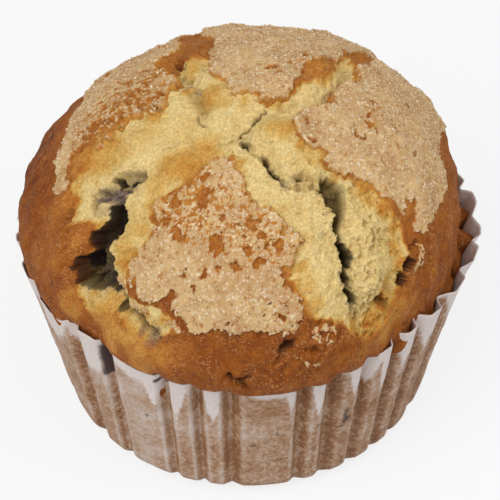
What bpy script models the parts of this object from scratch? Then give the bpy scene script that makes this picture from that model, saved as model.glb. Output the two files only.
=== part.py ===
"""A domed blueberry muffin in its own pleated paper case, standing on the case's flat base.

The origin is the centre of the base, +Z is up and -Y is the front. The dome is drawn on an unrolled
map: a point (u, v) lies at arc length hypot(u, v) from the dome's apex, in the direction atan2(v, u).
"""

import math

import bmesh
import bpy
import numpy as np
from mathutils import Vector

MM = 0.001

# Driving dimensions
BASE_RIDGE_RADIUS = 31.0 * MM       # paper, outside of the pleats just above the base
RIM_RIDGE_RADIUS_X = 36.2 * MM      # the baked case is a little wider from side to side
RIM_RIDGE_RADIUS_Y = 33.9 * MM
RIM_HEIGHT = 30.0 * MM
BASE_CORNER_RADIUS = 4.0 * MM
BASE_CORNER_SHRINK = 0.35 * MM      # what the pleats are shallower by at the corner, per side
PLEAT_DEPTH_BASE = 1.1 * MM
PLEAT_DEPTH_RIM = 2.4 * MM
SIDE_FLARE = 1.7 * MM               # the rim bends outwards at the left and the right
PAPER_THICKNESS = 0.4 * MM
GAP = 0.35 * MM

LIP_RADIUS = 35.0 * MM              # the dome at its widest
LIP_HEIGHT = 36.5 * MM
LIP_DROP = 5.9 * MM                 # from the widest circle down to the paper
LIP_SQUARENESS = 2.6
DOME_RISE = 25.4 * MM               # from the widest circle up to the apex
DOME_SQUARENESS = 1.8
APEX_LEAN = 4.2 * MM                # the apex leans to the right
LIP_SHIFT = -0.5 * MM

CRUST_LIFT = 1.3 * MM               # crust plates stand proud of the torn crumb
BERRY_RADIUS = 4.0 * MM
SIDE_BERRY_AZIMUTH = 231.5          # degrees; in a valley of the pleats, against the paper
SIDE_BERRY_HEIGHT = 24.5 * MM

DOME_RINGS = 18
LIP_RINGS = 4
SIDE_RINGS = 3
CORNER_RINGS = 2

# Pleats of the front, as the azimuths in degrees where each outer fold starts and ends
FRONT_RIDGES = (
    (205, 216), (223, 229), (234, 246), (250, 255), (259, 263), (269, 283),
    (288, 291), (297, 301), (306, 310), (315, 318), (323, 328),
)
BACK_PLEATS = 23
WIDEST_FLAT = 7.0                   # degrees; a wider ridge gets a column between its folds

# The torn crumb between the crust plates, and the cracks in it, on the unrolled map in millimetres
TORN_CRUMB = (
    (-15, 12), (-10, 9), (-8, 1), (-1, -4), (4, -1), (11, 4), (14, 12), (15, 8), (12, 0), (4, -6),
    (5, -11), (12, -15), (26, -20), (28, -27), (26, -36), (24, -44), (17, -39), (8, -33), (6, -25),
    (0, -20), (-5, -14), (-14, -13), (-21, -19), (-24, -29), (-34, -38), (-38, -33), (-30, -27),
    (-29, -18), (-34, -14), (-29, -8), (-17, -1),
)
CRACKS = {                          # route, width and depth in millimetres
    "right": (((-5, -9), (1, -15), (9, -20), (14, -28), (21, -40)), 2.6, 3.6),
    "left": (((-7, -9), (-19, -13), (-25, -20), (-28, -28), (-37, -35)), 3.0, 4.6),
    "top_right": (((-5, -8), (0, -4), (10, 0), (14, 11)), 2.4, 1.8),
    "top_left": (((-9, -3), (-13, 5), (-16, 13)), 2.4, 1.8),
}


def hump(azimuth, centre, width):
    """A bell of height 1 around one azimuth, in degrees."""
    away = (azimuth - centre + 180) % 360 - 180
    return np.exp(-((away / width) ** 2))


def oval(azimuth, radius_x, radius_y):
    """The radius of an ellipse in that direction."""
    angle = np.radians(azimuth)
    return radius_x * radius_y / np.hypot(radius_y * np.cos(angle), radius_x * np.sin(angle))


def pleat_columns():
    """(azimuth, fold) of every column of the pleats: fold is 1 on an outer fold and 0 in a valley."""
    first, last = FRONT_RIDGES[0][0], FRONT_RIDGES[-1][1]
    pitch = (360 - (last - first)) / (BACK_PLEATS + 1)
    ridges = list(FRONT_RIDGES)
    for k in range(BACK_PLEATS):
        middle = last + pitch * (k + 1) + 1.1 * math.sin(2.3 * k)
        half = 2.2 + 0.8 * math.sin(1.7 * k + 1)
        ridges.append((middle - half, middle + half))
    columns = []
    for k, (start, end) in enumerate(ridges):
        following = ridges[k + 1][0] if k + 1 < len(ridges) else first + 360
        columns.append((start, 1.0))
        if end - start > WIDEST_FLAT:
            columns.append(((start + end) / 2, 1.0))
        columns.append((end, 1.0))
        columns.append((end + 0.45 * (following - end), 0.0))
    azimuth, fold = np.array(columns).T
    return azimuth, fold


def paper_radius(azimuth, fold, height):
    """The outside of the paper on its side wall."""
    share = (height - BASE_CORNER_RADIUS) / (RIM_HEIGHT - BASE_CORNER_RADIUS)
    rim = oval(azimuth, RIM_RIDGE_RADIUS_X, RIM_RIDGE_RADIUS_Y)
    depth = PLEAT_DEPTH_BASE + (PLEAT_DEPTH_RIM - PLEAT_DEPTH_BASE) * share
    flare = SIDE_FLARE * share ** 6 * (hump(azimuth, 180, 22) + hump(azimuth, 0, 22))
    return BASE_RIDGE_RADIUS + (rim - BASE_RIDGE_RADIUS) * share - depth * (1 - fold) + flare


def ring(azimuth, radius, height):
    """The points of one closed ring, in order round the axis."""
    angle = np.radians(azimuth)
    return np.stack([radius * np.cos(angle), radius * np.sin(angle), height + 0 * radius], 1)


def wall_rings(azimuth, fold, inset):
    """Rings of the case's cup from its rim down to its flat base, moved inwards by inset."""
    rings = []
    for k in range(SIDE_RINGS + 1):
        height = RIM_HEIGHT + (BASE_CORNER_RADIUS - RIM_HEIGHT) * k / SIDE_RINGS
        rings.append(ring(azimuth, paper_radius(azimuth, fold, height) - inset, height))
    wall = paper_radius(azimuth, fold, BASE_CORNER_RADIUS) - inset
    turn = BASE_CORNER_RADIUS - inset
    for k in range(1, CORNER_RINGS + 1):
        angle = math.pi / 2 * k / CORNER_RINGS
        inward = turn * (1 - math.cos(angle)) + BASE_CORNER_SHRINK * k * fold
        rings.append(ring(azimuth, wall - inward, BASE_CORNER_RADIUS - turn * math.sin(angle)))
    return rings


def distance_to_route(u, v, route, closed=False):
    """The distance from each (u, v) to a line of straight stretches."""
    points = np.array(route + route[:1] if closed else route, float)
    nearest = np.full(np.shape(u), np.inf)
    for (u0, v0), (u1, v1) in zip(points[:-1], points[1:]):
        du, dv = u1 - u0, v1 - v0
        along = np.clip(((u - u0) * du + (v - v0) * dv) / (du * du + dv * dv), 0, 1)
        nearest = np.minimum(nearest, np.hypot(u - u0 - along * du, v - v0 - along * dv))
    return nearest


def inside_outline(u, v, outline):
    """True where (u, v) lies inside the closed outline."""
    found = np.zeros(np.shape(u), bool)
    for (u0, v0), (u1, v1) in zip(outline, outline[1:] + outline[:1]):
        if v0 != v1:
            crossing = u0 + (v - v0) * (u1 - u0) / (v1 - v0)
            found ^= ((v0 > v) != (v1 > v)) & (u < crossing)
    return found


def relief(u, v):
    """Height over the plain dome: raised crust plates, torn crumb between them, and its cracks."""
    edge = distance_to_route(u, v, TORN_CRUMB, closed=True)
    outside = np.where(inside_outline(u, v, TORN_CRUMB), -edge, edge)
    height = CRUST_LIFT * np.clip(0.5 + outside / 1.6, 0, 1)
    height += 0.35 * MM * np.sin(0.62 * u + 0.9) * np.sin(0.55 * v - 0.4)
    for route, width, depth in CRACKS.values():
        height -= depth * MM * np.exp(-((distance_to_route(u, v, route) / width) ** 2))
    return height - 0.6 * MM


def lip_radius(azimuth):
    """The dome's widest circle: full at the front, drawn in where the two big cracks reach the lip."""
    bulge = 2.9 * hump(azimuth, 277, 24) + 0.9 * hump(azimuth, 185, 30) - 0.6 * hump(azimuth, 5, 30)
    dents = 1.2 * hump(azimuth, 225, 12) + 1.0 * hump(azimuth, 314, 10)
    return LIP_RADIUS + (bulge - dents) * MM


def dome_point(angle, azimuth, lift):
    """A point of the dome: angle 0 is the apex and 90 the widest circle; lift is along the normal."""
    sine, cosine = math.sin(math.radians(angle)), math.cos(math.radians(angle))
    outward, upward = sine ** (2 / DOME_SQUARENESS), abs(cosine) ** (2 / DOME_SQUARENESS)
    reach = lip_radius(azimuth) * outward + lift * sine
    height = LIP_HEIGHT + DOME_RISE * upward + lift * cosine
    points = ring(azimuth, reach, height)
    points[:, 0] += LIP_SHIFT + APEX_LEAN * upward
    return points


def arc_lengths():
    """The arc length from the apex to each degree of the mean dome, in millimetres."""
    angle = np.radians(np.arange(91))
    radius = LIP_RADIUS * np.sin(angle) ** (2 / DOME_SQUARENESS)
    height = DOME_RISE * np.cos(angle) ** (2 / DOME_SQUARENESS)
    steps = np.hypot(np.diff(radius), np.diff(height)) / MM
    return np.concatenate([[0], np.cumsum(steps)])


def cake_rings(azimuth, fold):
    """Rings of the cake from under its apex, over the lip and down its fluted side to its base."""
    lengths = arc_lengths()
    direction = np.radians(azimuth)
    rings = []
    for k in range(1, DOME_RINGS + 1):
        length = lengths[-1] * k / DOME_RINGS
        angle = float(np.interp(length, lengths, np.arange(91)))
        lift = relief(length * np.cos(direction), length * np.sin(direction))
        rings.append(dome_point(angle, azimuth, lift))
    widest = rings[-1]
    side = wall_rings(azimuth, fold, PAPER_THICKNESS + GAP)
    root = side[0].copy()
    root[:, 2] = LIP_HEIGHT - LIP_DROP
    for k in range(1, LIP_RINGS + 1):
        angle = math.pi / 2 * k / LIP_RINGS
        out = math.cos(angle) ** (2 / LIP_SQUARENESS) if k < LIP_RINGS else 0.0
        down = math.sin(angle) ** (2 / LIP_SQUARENESS)
        points = root + (widest - root) * [out, out, 0]
        points[:, 2] = widest[:, 2] + (root[:, 2] - widest[:, 2]) * down
        rings.append(points)
    return rings + side[1:]


def skin(rings, name):
    """A closed mesh of rings joined in order, with a fan on the first and a flat face on the last."""
    mesh = bmesh.new()
    loops = [[mesh.verts.new(point) for point in points] for points in rings]
    count = len(loops[0])
    for upper, lower in zip(loops[:-1], loops[1:]):
        for k in range(count):
            after = (k + 1) % count
            mesh.faces.new((upper[k], lower[k], lower[after], upper[after]))
    mesh.faces.new(loops[-1][::-1])
    return mesh, loops


def finish_object(mesh, name, material, smooth_degrees):
    """Makes the bmesh an object, shaded smooth except over its sharp edges."""
    bmesh.ops.recalc_face_normals(mesh, faces=mesh.faces)
    data = bpy.data.meshes.new(name)
    mesh.to_mesh(data)
    mesh.free()
    data.shade_smooth()
    data.set_sharp_from_angle(angle=math.radians(smooth_degrees))
    data.materials.append(material)
    made = bpy.data.objects.new(name, data)
    bpy.context.scene.collection.objects.link(made)
    return made


def plain_material(name, colour, roughness):
    """A Principled BSDF of one colour, given as linear red, green and blue."""
    material = bpy.data.materials.new(name)
    material.use_nodes = True
    shader = material.node_tree.nodes["Principled BSDF"]
    shader.inputs["Base Color"].default_value = (*colour, 1)
    shader.inputs["Roughness"].default_value = roughness
    shader.inputs["Metallic"].default_value = 0
    return material


def make_cake(azimuth, fold, material):
    """The cake: a cracked dome that spills over the rim, on a fluted body inside the case."""
    mesh, loops = skin(cake_rings(azimuth, fold), "cake")
    apex = mesh.verts.new((LIP_SHIFT + APEX_LEAN, 0, LIP_HEIGHT + DOME_RISE + float(relief(0.0, 0.0))))
    top = loops[0]
    for k, vertex in enumerate(top):
        mesh.faces.new((apex, vertex, top[(k + 1) % len(top)]))
    return finish_object(mesh, "cake", material, 50)


def make_paper_case(azimuth, fold, material):
    """The case: one thin pleated cup, open at the top, with a flat base."""
    outside = wall_rings(azimuth, fold, 0.0)
    inside = wall_rings(azimuth, fold, PAPER_THICKNESS)
    mesh, outer_loops = skin(outside, "paper_case")
    inner_loops = [[mesh.verts.new(point) for point in points] for points in inside]
    count = len(azimuth)
    for upper, lower in zip([outer_loops[0]] + inner_loops[:-1], inner_loops):
        for k in range(count):
            after = (k + 1) % count
            mesh.faces.new((upper[after], lower[after], lower[k], upper[k]))
    mesh.faces.new(inner_loops[-1])
    return finish_object(mesh, "paper_case", material, 30)


def make_berry(name, centre, radius, squash, material):
    """A blueberry: a slightly flattened ball with the shallow crown at its top."""
    mesh = bmesh.new()
    bmesh.ops.create_uvsphere(mesh, u_segments=14, v_segments=8, radius=radius)
    for vertex in mesh.verts:
        crown = math.exp(-((Vector(vertex.co[:2]).length / (0.35 * radius)) ** 2))
        vertex.co.z = vertex.co.z * squash - (0.18 * radius * crown if vertex.co.z > 0 else 0)
        vertex.co += Vector(centre)
    return finish_object(mesh, name, material, 60)


def cut_pocket(cake, centre, radius, name):
    """Cuts room for a berry out of the cake with an exact Boolean, leaving the gap all round."""
    mesh = bmesh.new()
    bmesh.ops.create_uvsphere(mesh, u_segments=16, v_segments=10, radius=radius + 1.6 * GAP)
    bmesh.ops.translate(mesh, verts=mesh.verts, vec=centre)
    cutter = finish_object(mesh, name, cake.data.materials[0], 60)
    cutter.hide_render = True
    cutter.display_type = "WIRE"
    cut = cake.modifiers.new(name, "BOOLEAN")
    cut.operation = "DIFFERENCE"
    cut.solver = "EXACT"
    cut.object = cutter


def map_point(u, v, depth):
    """The point that lies that deep under the plain dome at (u, v) of the unrolled map."""
    length, azimuth = math.hypot(u, v), math.degrees(math.atan2(v, u)) % 360
    angle = float(np.interp(length, arc_lengths(), np.arange(91)))
    return dome_point(angle, np.array([azimuth]), -depth)[0]


def main():
    for old in list(bpy.data.objects):
        bpy.data.objects.remove(old)
    crust = plain_material("baked_crust", (0.50, 0.24, 0.08), 0.8)
    paper = plain_material("greased_paper", (0.62, 0.48, 0.38), 0.6)
    skin_blue = plain_material("berry_skin", (0.04, 0.015, 0.04), 0.4)

    azimuth, fold = pleat_columns()
    cake = make_cake(azimuth, fold, crust)
    make_paper_case(azimuth, fold, paper)
    side_radius = 0.8 * BERRY_RADIUS
    paper_inside = paper_radius(SIDE_BERRY_AZIMUTH, 0.0, SIDE_BERRY_HEIGHT) - PAPER_THICKNESS
    side_reach = paper_inside - GAP - side_radius
    side_centre = ring(SIDE_BERRY_AZIMUTH, np.array([side_reach]), SIDE_BERRY_HEIGHT)[0]
    berries = {
        "berry_upper": (map_point(-24.0, -16.5, 6.4 * MM), BERRY_RADIUS, 0.92),
        "berry_lower": (map_point(-29.5, -28.0, 6.4 * MM), 0.9 * BERRY_RADIUS, 0.95),
        "berry_side": (side_centre, side_radius, 1.0),
    }
    for name, (centre, radius, squash) in berries.items():
        make_berry(name, centre, radius, squash, skin_blue)
        cut_pocket(cake, centre, radius, name + "_pocket")


main()
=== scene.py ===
import math

import bpy
import numpy as np
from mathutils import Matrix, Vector


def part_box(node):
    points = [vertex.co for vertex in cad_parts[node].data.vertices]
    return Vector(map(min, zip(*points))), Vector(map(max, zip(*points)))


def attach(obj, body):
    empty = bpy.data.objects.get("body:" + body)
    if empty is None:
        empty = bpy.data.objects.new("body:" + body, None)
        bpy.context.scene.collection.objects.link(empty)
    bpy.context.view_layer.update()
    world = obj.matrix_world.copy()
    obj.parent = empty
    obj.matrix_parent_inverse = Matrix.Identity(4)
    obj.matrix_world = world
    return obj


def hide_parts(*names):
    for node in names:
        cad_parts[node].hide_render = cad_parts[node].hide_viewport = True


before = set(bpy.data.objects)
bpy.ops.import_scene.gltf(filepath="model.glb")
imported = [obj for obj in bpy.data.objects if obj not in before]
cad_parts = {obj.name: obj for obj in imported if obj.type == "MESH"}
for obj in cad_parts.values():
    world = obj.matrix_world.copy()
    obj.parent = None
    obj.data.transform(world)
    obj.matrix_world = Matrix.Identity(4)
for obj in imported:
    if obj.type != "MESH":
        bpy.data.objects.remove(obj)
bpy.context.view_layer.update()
mm = 0.001
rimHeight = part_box("paper_case")[1].z / mm
randomNumbers = np.random.default_rng(21)
print("frame loaded")

# Places on the dome are given on an unrolled map in millimetres: (u, v) lies at arc length hypot(u, v)
# from the dome's apex, in the direction atan2(v, u), so v is negative at the front and u at the left.


# A number from 0 to 1 for each point of a square lattice: its column and row, mixed into one whole number.
def latticeRandom(column, row, seed):
    mixed = (column.astype(np.int64) * 73856093) ^ (row.astype(np.int64) * 19349663) ^ (seed * 83492791)
    mixed = ((mixed ^ (mixed >> 13)) * 12741261) & 0x7FFFFFFF
    return ((mixed ^ (mixed >> 15)) & 0xFFFF) / 65535.0


# Gradient noise of about -1 to 1: every lattice corner slopes in its own random direction, and the
# four slopes around a point are blended by a fifth-power ease.
def smoothNoise(x, y, seed):
    column, row = np.floor(x), np.floor(y)
    alongX, alongY = x - column, y - row
    easeX = alongX ** 3 * (alongX * (alongX * 6 - 15) + 10)
    easeY = alongY ** 3 * (alongY * (alongY * 6 - 15) + 10)
    total = 0.0
    for right in (0, 1):
        for up in (0, 1):
            turn = 2 * np.pi * latticeRandom(column + right, row + up, seed)
            slope = np.cos(turn) * (alongX - right) + np.sin(turn) * (alongY - up)
            total = total + slope * (easeX if right else 1 - easeX) * (easeY if up else 1 - easeY)
    return 1.5 * total


# Several layers of smooth noise, each of half the size and a share of the strength of the one before.
def layeredNoise(x, y, size, seed, layers=3, fade=0.5):
    total, strength = 0.0, 1.0
    for layer in range(layers):
        total = total + strength * smoothNoise(x / size + 7.3 * layer, y / size - 3.1 * layer, seed + layer)
        strength *= fade
        size *= 0.5
    return total


# Distance, in cells, to the nearest of the points strewn one to a cell, and that point's own number.
def strewnCells(x, y, size, seed):
    column, row = np.floor(x / size), np.floor(y / size)
    nearest = np.full(np.shape(x), 9.0)
    number = np.zeros(np.shape(x))
    for right in (-1, 0, 1):
        for up in (-1, 0, 1):
            pointX = column + right + latticeRandom(column + right, row + up, seed)
            pointY = row + up + latticeRandom(column + right, row + up, seed + 1)
            away = np.hypot(x / size - pointX, y / size - pointY)
            closer = away < nearest
            number = np.where(closer, latticeRandom(column + right, row + up, seed + 2), number)
            nearest = np.where(closer, away, nearest)
    return nearest, number


# 0 below the first limit, 1 above the second, and a cubic ease between them.
def eased(value, low, high):
    share = np.clip((value - low) / (high - low), 0, 1)
    return share * share * (3 - 2 * share)


# A bell of height 1 around one azimuth, in degrees.
def hump(azimuth, centre, width):
    away = (azimuth - centre + 180) % 360 - 180
    return np.exp(-((away / width) ** 2))


# Distance to a line of straight stretches, the side of it (positive on its left), and the share along it.
def routeDistance(u, v, route):
    points = np.array(route, float)
    nearest = np.full(np.shape(u), 1e9)
    side = np.ones(np.shape(u))
    along = np.zeros(np.shape(u))
    stretches = len(points) - 1
    for k in range(stretches):
        (u0, v0), (du, dv) = points[k], points[k + 1] - points[k]
        share = np.clip(((u - u0) * du + (v - v0) * dv) / (du * du + dv * dv), 0, 1)
        away = np.hypot(u - u0 - share * du, v - v0 - share * dv)
        closer = away < nearest
        side = np.where(closer, np.sign(du * (v - v0) - dv * (u - u0)), side)
        along = np.where(closer, (k + share) / stretches, along)
        nearest = np.where(closer, away, nearest)
    return nearest, side, along


# Distance inside a closed outline: positive inside and negative outside.
def depthInside(u, v, outline):
    inside = np.zeros(np.shape(u), bool)
    for (u0, v0), (u1, v1) in zip(outline, outline[1:] + outline[:1]):
        if v0 != v1:
            crossing = u0 + (v - v0) * (u1 - u0) / (v1 - v0)
            inside ^= ((v0 > v) != (v1 > v)) & (u < crossing)
    nearest = routeDistance(u, v, outline + outline[:1])[0]
    return np.where(inside, nearest, -nearest)


# The sum of soft round spots, each given as its place, its radius and its strength.
def softSpots(u, v, spots):
    total = np.zeros(np.shape(u))
    for spotU, spotV, radius, strength in spots:
        total += strength * np.exp(-(((u - spotU) ** 2 + (v - spotV) ** 2) / radius ** 2))
    return total


# The map point moved about by noise, which makes any straight outline ragged.
def raggedPlace(u, v, coarse, fine, seed):
    movedU = u + coarse * layeredNoise(u, v, 3.4, seed) + fine * layeredNoise(u, v, 1.0, seed + 10, 2)
    movedV = v + coarse * layeredNoise(u, v, 3.4, seed + 20) + fine * layeredNoise(u, v, 1.0, seed + 30, 2)
    return movedU, movedV


paperCase = {
    "baseRadius": 31.0,            # outside of the pleats just above the base
    "rimRadiusX": 36.2,
    "rimRadiusY": 33.9,
    "cornerRadius": 4.0,
    "cornerShrink": 0.7,
    "depthBase": 1.1,              # how deep the pleats are at the base and at the rim
    "depthRim": 2.4,
    "flareLeft": 0.5,              # the rim bends outwards at the left and the right
    "flareRight": 0.8,
    "calmRight": 0.45,             # the pleats are shallower at the right
    "thickness": 0.16,
    "frontRidges": (
        (205, 216), (223, 229), (234, 246), (250, 255), (259, 263), (269, 283),
        (288, 291), (297, 301), (306, 310), (315, 318), (323, 328),
    ),
    "backPleats": 23,
    "columns": 720,
    "wallRows": 62,
    "cornerRows": 6,
}


# The outline of the pleats: 1 on an outer fold and 0 in a valley, straight between them, with each
# corner rounded by a narrow bell.
def pleatTable():
    ridges = list(paperCase["frontRidges"])
    first, last = ridges[0][0], ridges[-1][1]
    pitch = (360 - (last - first)) / (paperCase["backPleats"] + 1)
    for k in range(paperCase["backPleats"]):
        middle = last + pitch * (k + 1) + 1.1 * math.sin(2.3 * k)
        half = 2.2 + 0.8 * math.sin(1.7 * k + 1)
        ridges.append((middle - half, middle + half))
    places, heights = [], []
    for k, (start, end) in enumerate(ridges):
        following = ridges[k + 1][0] if k + 1 < len(ridges) else first + 360
        places += [start, end, end + 0.4 * (following - end)]
        heights += [1.0, 1.0, 0.0]
    azimuth = np.arange(0, 360, 0.1)
    fold = np.interp(azimuth, np.array(places) % 360, heights, period=360)
    bell = np.exp(-((np.arange(-12, 13) * 0.1 / 0.45) ** 2))
    padded = np.concatenate([fold[-12:], fold, fold[:12]])
    return azimuth, np.convolve(padded, bell / bell.sum(), "valid")


pleatAzimuth, pleatFold = pleatTable()


def foldAt(azimuth):
    return np.interp(azimuth, pleatAzimuth, pleatFold, period=360)


# The outside of the paper: an ellipse that widens from base to rim, less the depth of the pleats, with
# its rim flared at the left and the right.
def paperRadius(azimuth, height):
    share = (height - paperCase["cornerRadius"]) / (rimHeight - paperCase["cornerRadius"])
    angle = np.radians(azimuth)
    radiusX, radiusY = paperCase["rimRadiusX"], paperCase["rimRadiusY"]
    rim = radiusX * radiusY / np.hypot(radiusY * np.cos(angle), radiusX * np.sin(angle))
    depth = paperCase["depthBase"] + (paperCase["depthRim"] - paperCase["depthBase"]) * share
    depth = depth * (1 - paperCase["calmRight"] * hump(azimuth, 355, 26))
    flare = paperCase["flareLeft"] * hump(azimuth, 180, 22) + paperCase["flareRight"] * hump(azimuth, 0, 22)
    flare = flare * np.clip(share, 0, 2) ** 6
    radius = paperCase["baseRadius"] + (rim - paperCase["baseRadius"]) * share
    return radius - depth * (1 - foldAt(azimuth)) + flare


dome = {
    "lipRadius": 35.0,             # the dome at its widest
    "lipHeight": 36.5,
    "lipDrop": 5.9,                # from the widest circle down to the paper
    "lipWidth": 2.0,
    "lipRoundness": 2.6,
    "rise": 25.4,
    "roundness": 1.8,
    "lean": 4.2,                   # the apex leans to the right
    "lipShift": -0.5,
    "paperGap": 0.2,               # between the cake and the pleats
    "leftSwell": 0.5,              # how far the lip swells towards the flared rim at the left
    "filled": 0.95,                # share of each pleat that the lip fills
    "openRight": 0.4,              # what that share is less by at the right
    "knobs": ((5.0, 3.0, 1.9), (356.4, 2.8, 1.9), (214, 3.0, 0.6), (290, 1.6, 0.6), (314, 2.4, 0.8)),
}


# Arc lengths along the mean profile: a quarter superellipse from the apex to the widest circle, and a
# smaller one from there round the lip to the paper.
def profileTables():
    angle = np.linspace(0, np.pi / 2, 241)
    radius = dome["lipRadius"] * np.sin(angle) ** (2 / dome["roundness"])
    height = dome["rise"] * np.abs(np.cos(angle)) ** (2 / dome["roundness"])
    domeArc = np.concatenate([[0], np.cumsum(np.hypot(np.diff(radius), np.diff(height)))])
    radius = dome["lipWidth"] * np.abs(np.cos(angle)) ** (2 / dome["lipRoundness"])
    height = dome["lipDrop"] * np.sin(angle) ** (2 / dome["lipRoundness"])
    lipArc = np.concatenate([[0], np.cumsum(np.hypot(np.diff(radius), np.diff(height)))])
    return angle, domeArc, lipArc


profileAngle, domeArc, lipArc = profileTables()
widestArc = domeArc[-1]
rootArc = widestArc + lipArc[-1]


# The dome's widest circle: full at the front, drawn in where the two big cracks reach the lip.
def lipRadius(azimuth):
    bulge = 2.9 * hump(azimuth, 277, 24) + 0.9 * hump(azimuth, 185, 30) - 0.6 * hump(azimuth, 5, 30)
    dents = 1.2 * hump(azimuth, 225, 12) + 1.0 * hump(azimuth, 314, 10)
    return dome["lipRadius"] + bulge - dents


# Where the lip meets the paper: the inside of the pleats, nearly filled but for the right, swollen at the
# left, with knobs in some of them.
def cakeRoot(azimuth):
    angle = np.radians(azimuth)
    radiusX, radiusY = paperCase["rimRadiusX"], paperCase["rimRadiusY"]
    rim = radiusX * radiusY / np.hypot(radiusY * np.cos(angle), radiusX * np.sin(angle))
    filled = dome["filled"] - dome["openRight"] * hump(azimuth, 0, 35)
    root = rim - paperCase["depthRim"] * (1 - filled * foldAt(azimuth)) - dome["paperGap"]
    root = root + dome["leftSwell"] * hump(azimuth, 186, 18)
    for place, width, out in dome["knobs"]:
        root = root + out * hump(azimuth, place, width)
    return root


# The point over (u, v): out and up along the dome's profile by arc length, past the widest circle
# round the lip towards the fluted root at the paper, and raised by lift along the profile's normal.
def cakePoint(u, v, lift):
    arc = np.hypot(u, v)
    azimuth = np.degrees(np.arctan2(v, u)) % 360
    domeAngle = np.interp(arc, domeArc, profileAngle)
    lipAngle = np.interp(arc - widestArc, lipArc, profileAngle)
    outward = np.sin(domeAngle) ** (2 / dome["roundness"])
    upward = np.abs(np.cos(domeAngle)) ** (2 / dome["roundness"])
    share = np.abs(np.cos(lipAngle)) ** (2 / dome["lipRoundness"])
    down = np.sin(lipAngle) ** (2 / dome["lipRoundness"])
    root = cakeRoot(azimuth)
    reach = root + (lipRadius(azimuth) - root) * share
    reach = reach * outward + lift * np.sin(domeAngle) * np.cos(lipAngle)
    height = dome["lipHeight"] + dome["rise"] * upward - dome["lipDrop"] * down
    height = height + lift * (np.cos(domeAngle) - np.sin(lipAngle))
    angle = np.radians(azimuth)
    x = dome["lipShift"] * share + dome["lean"] * upward + reach * np.cos(angle)
    return np.stack([x, reach * np.sin(angle), height], -1)


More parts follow.
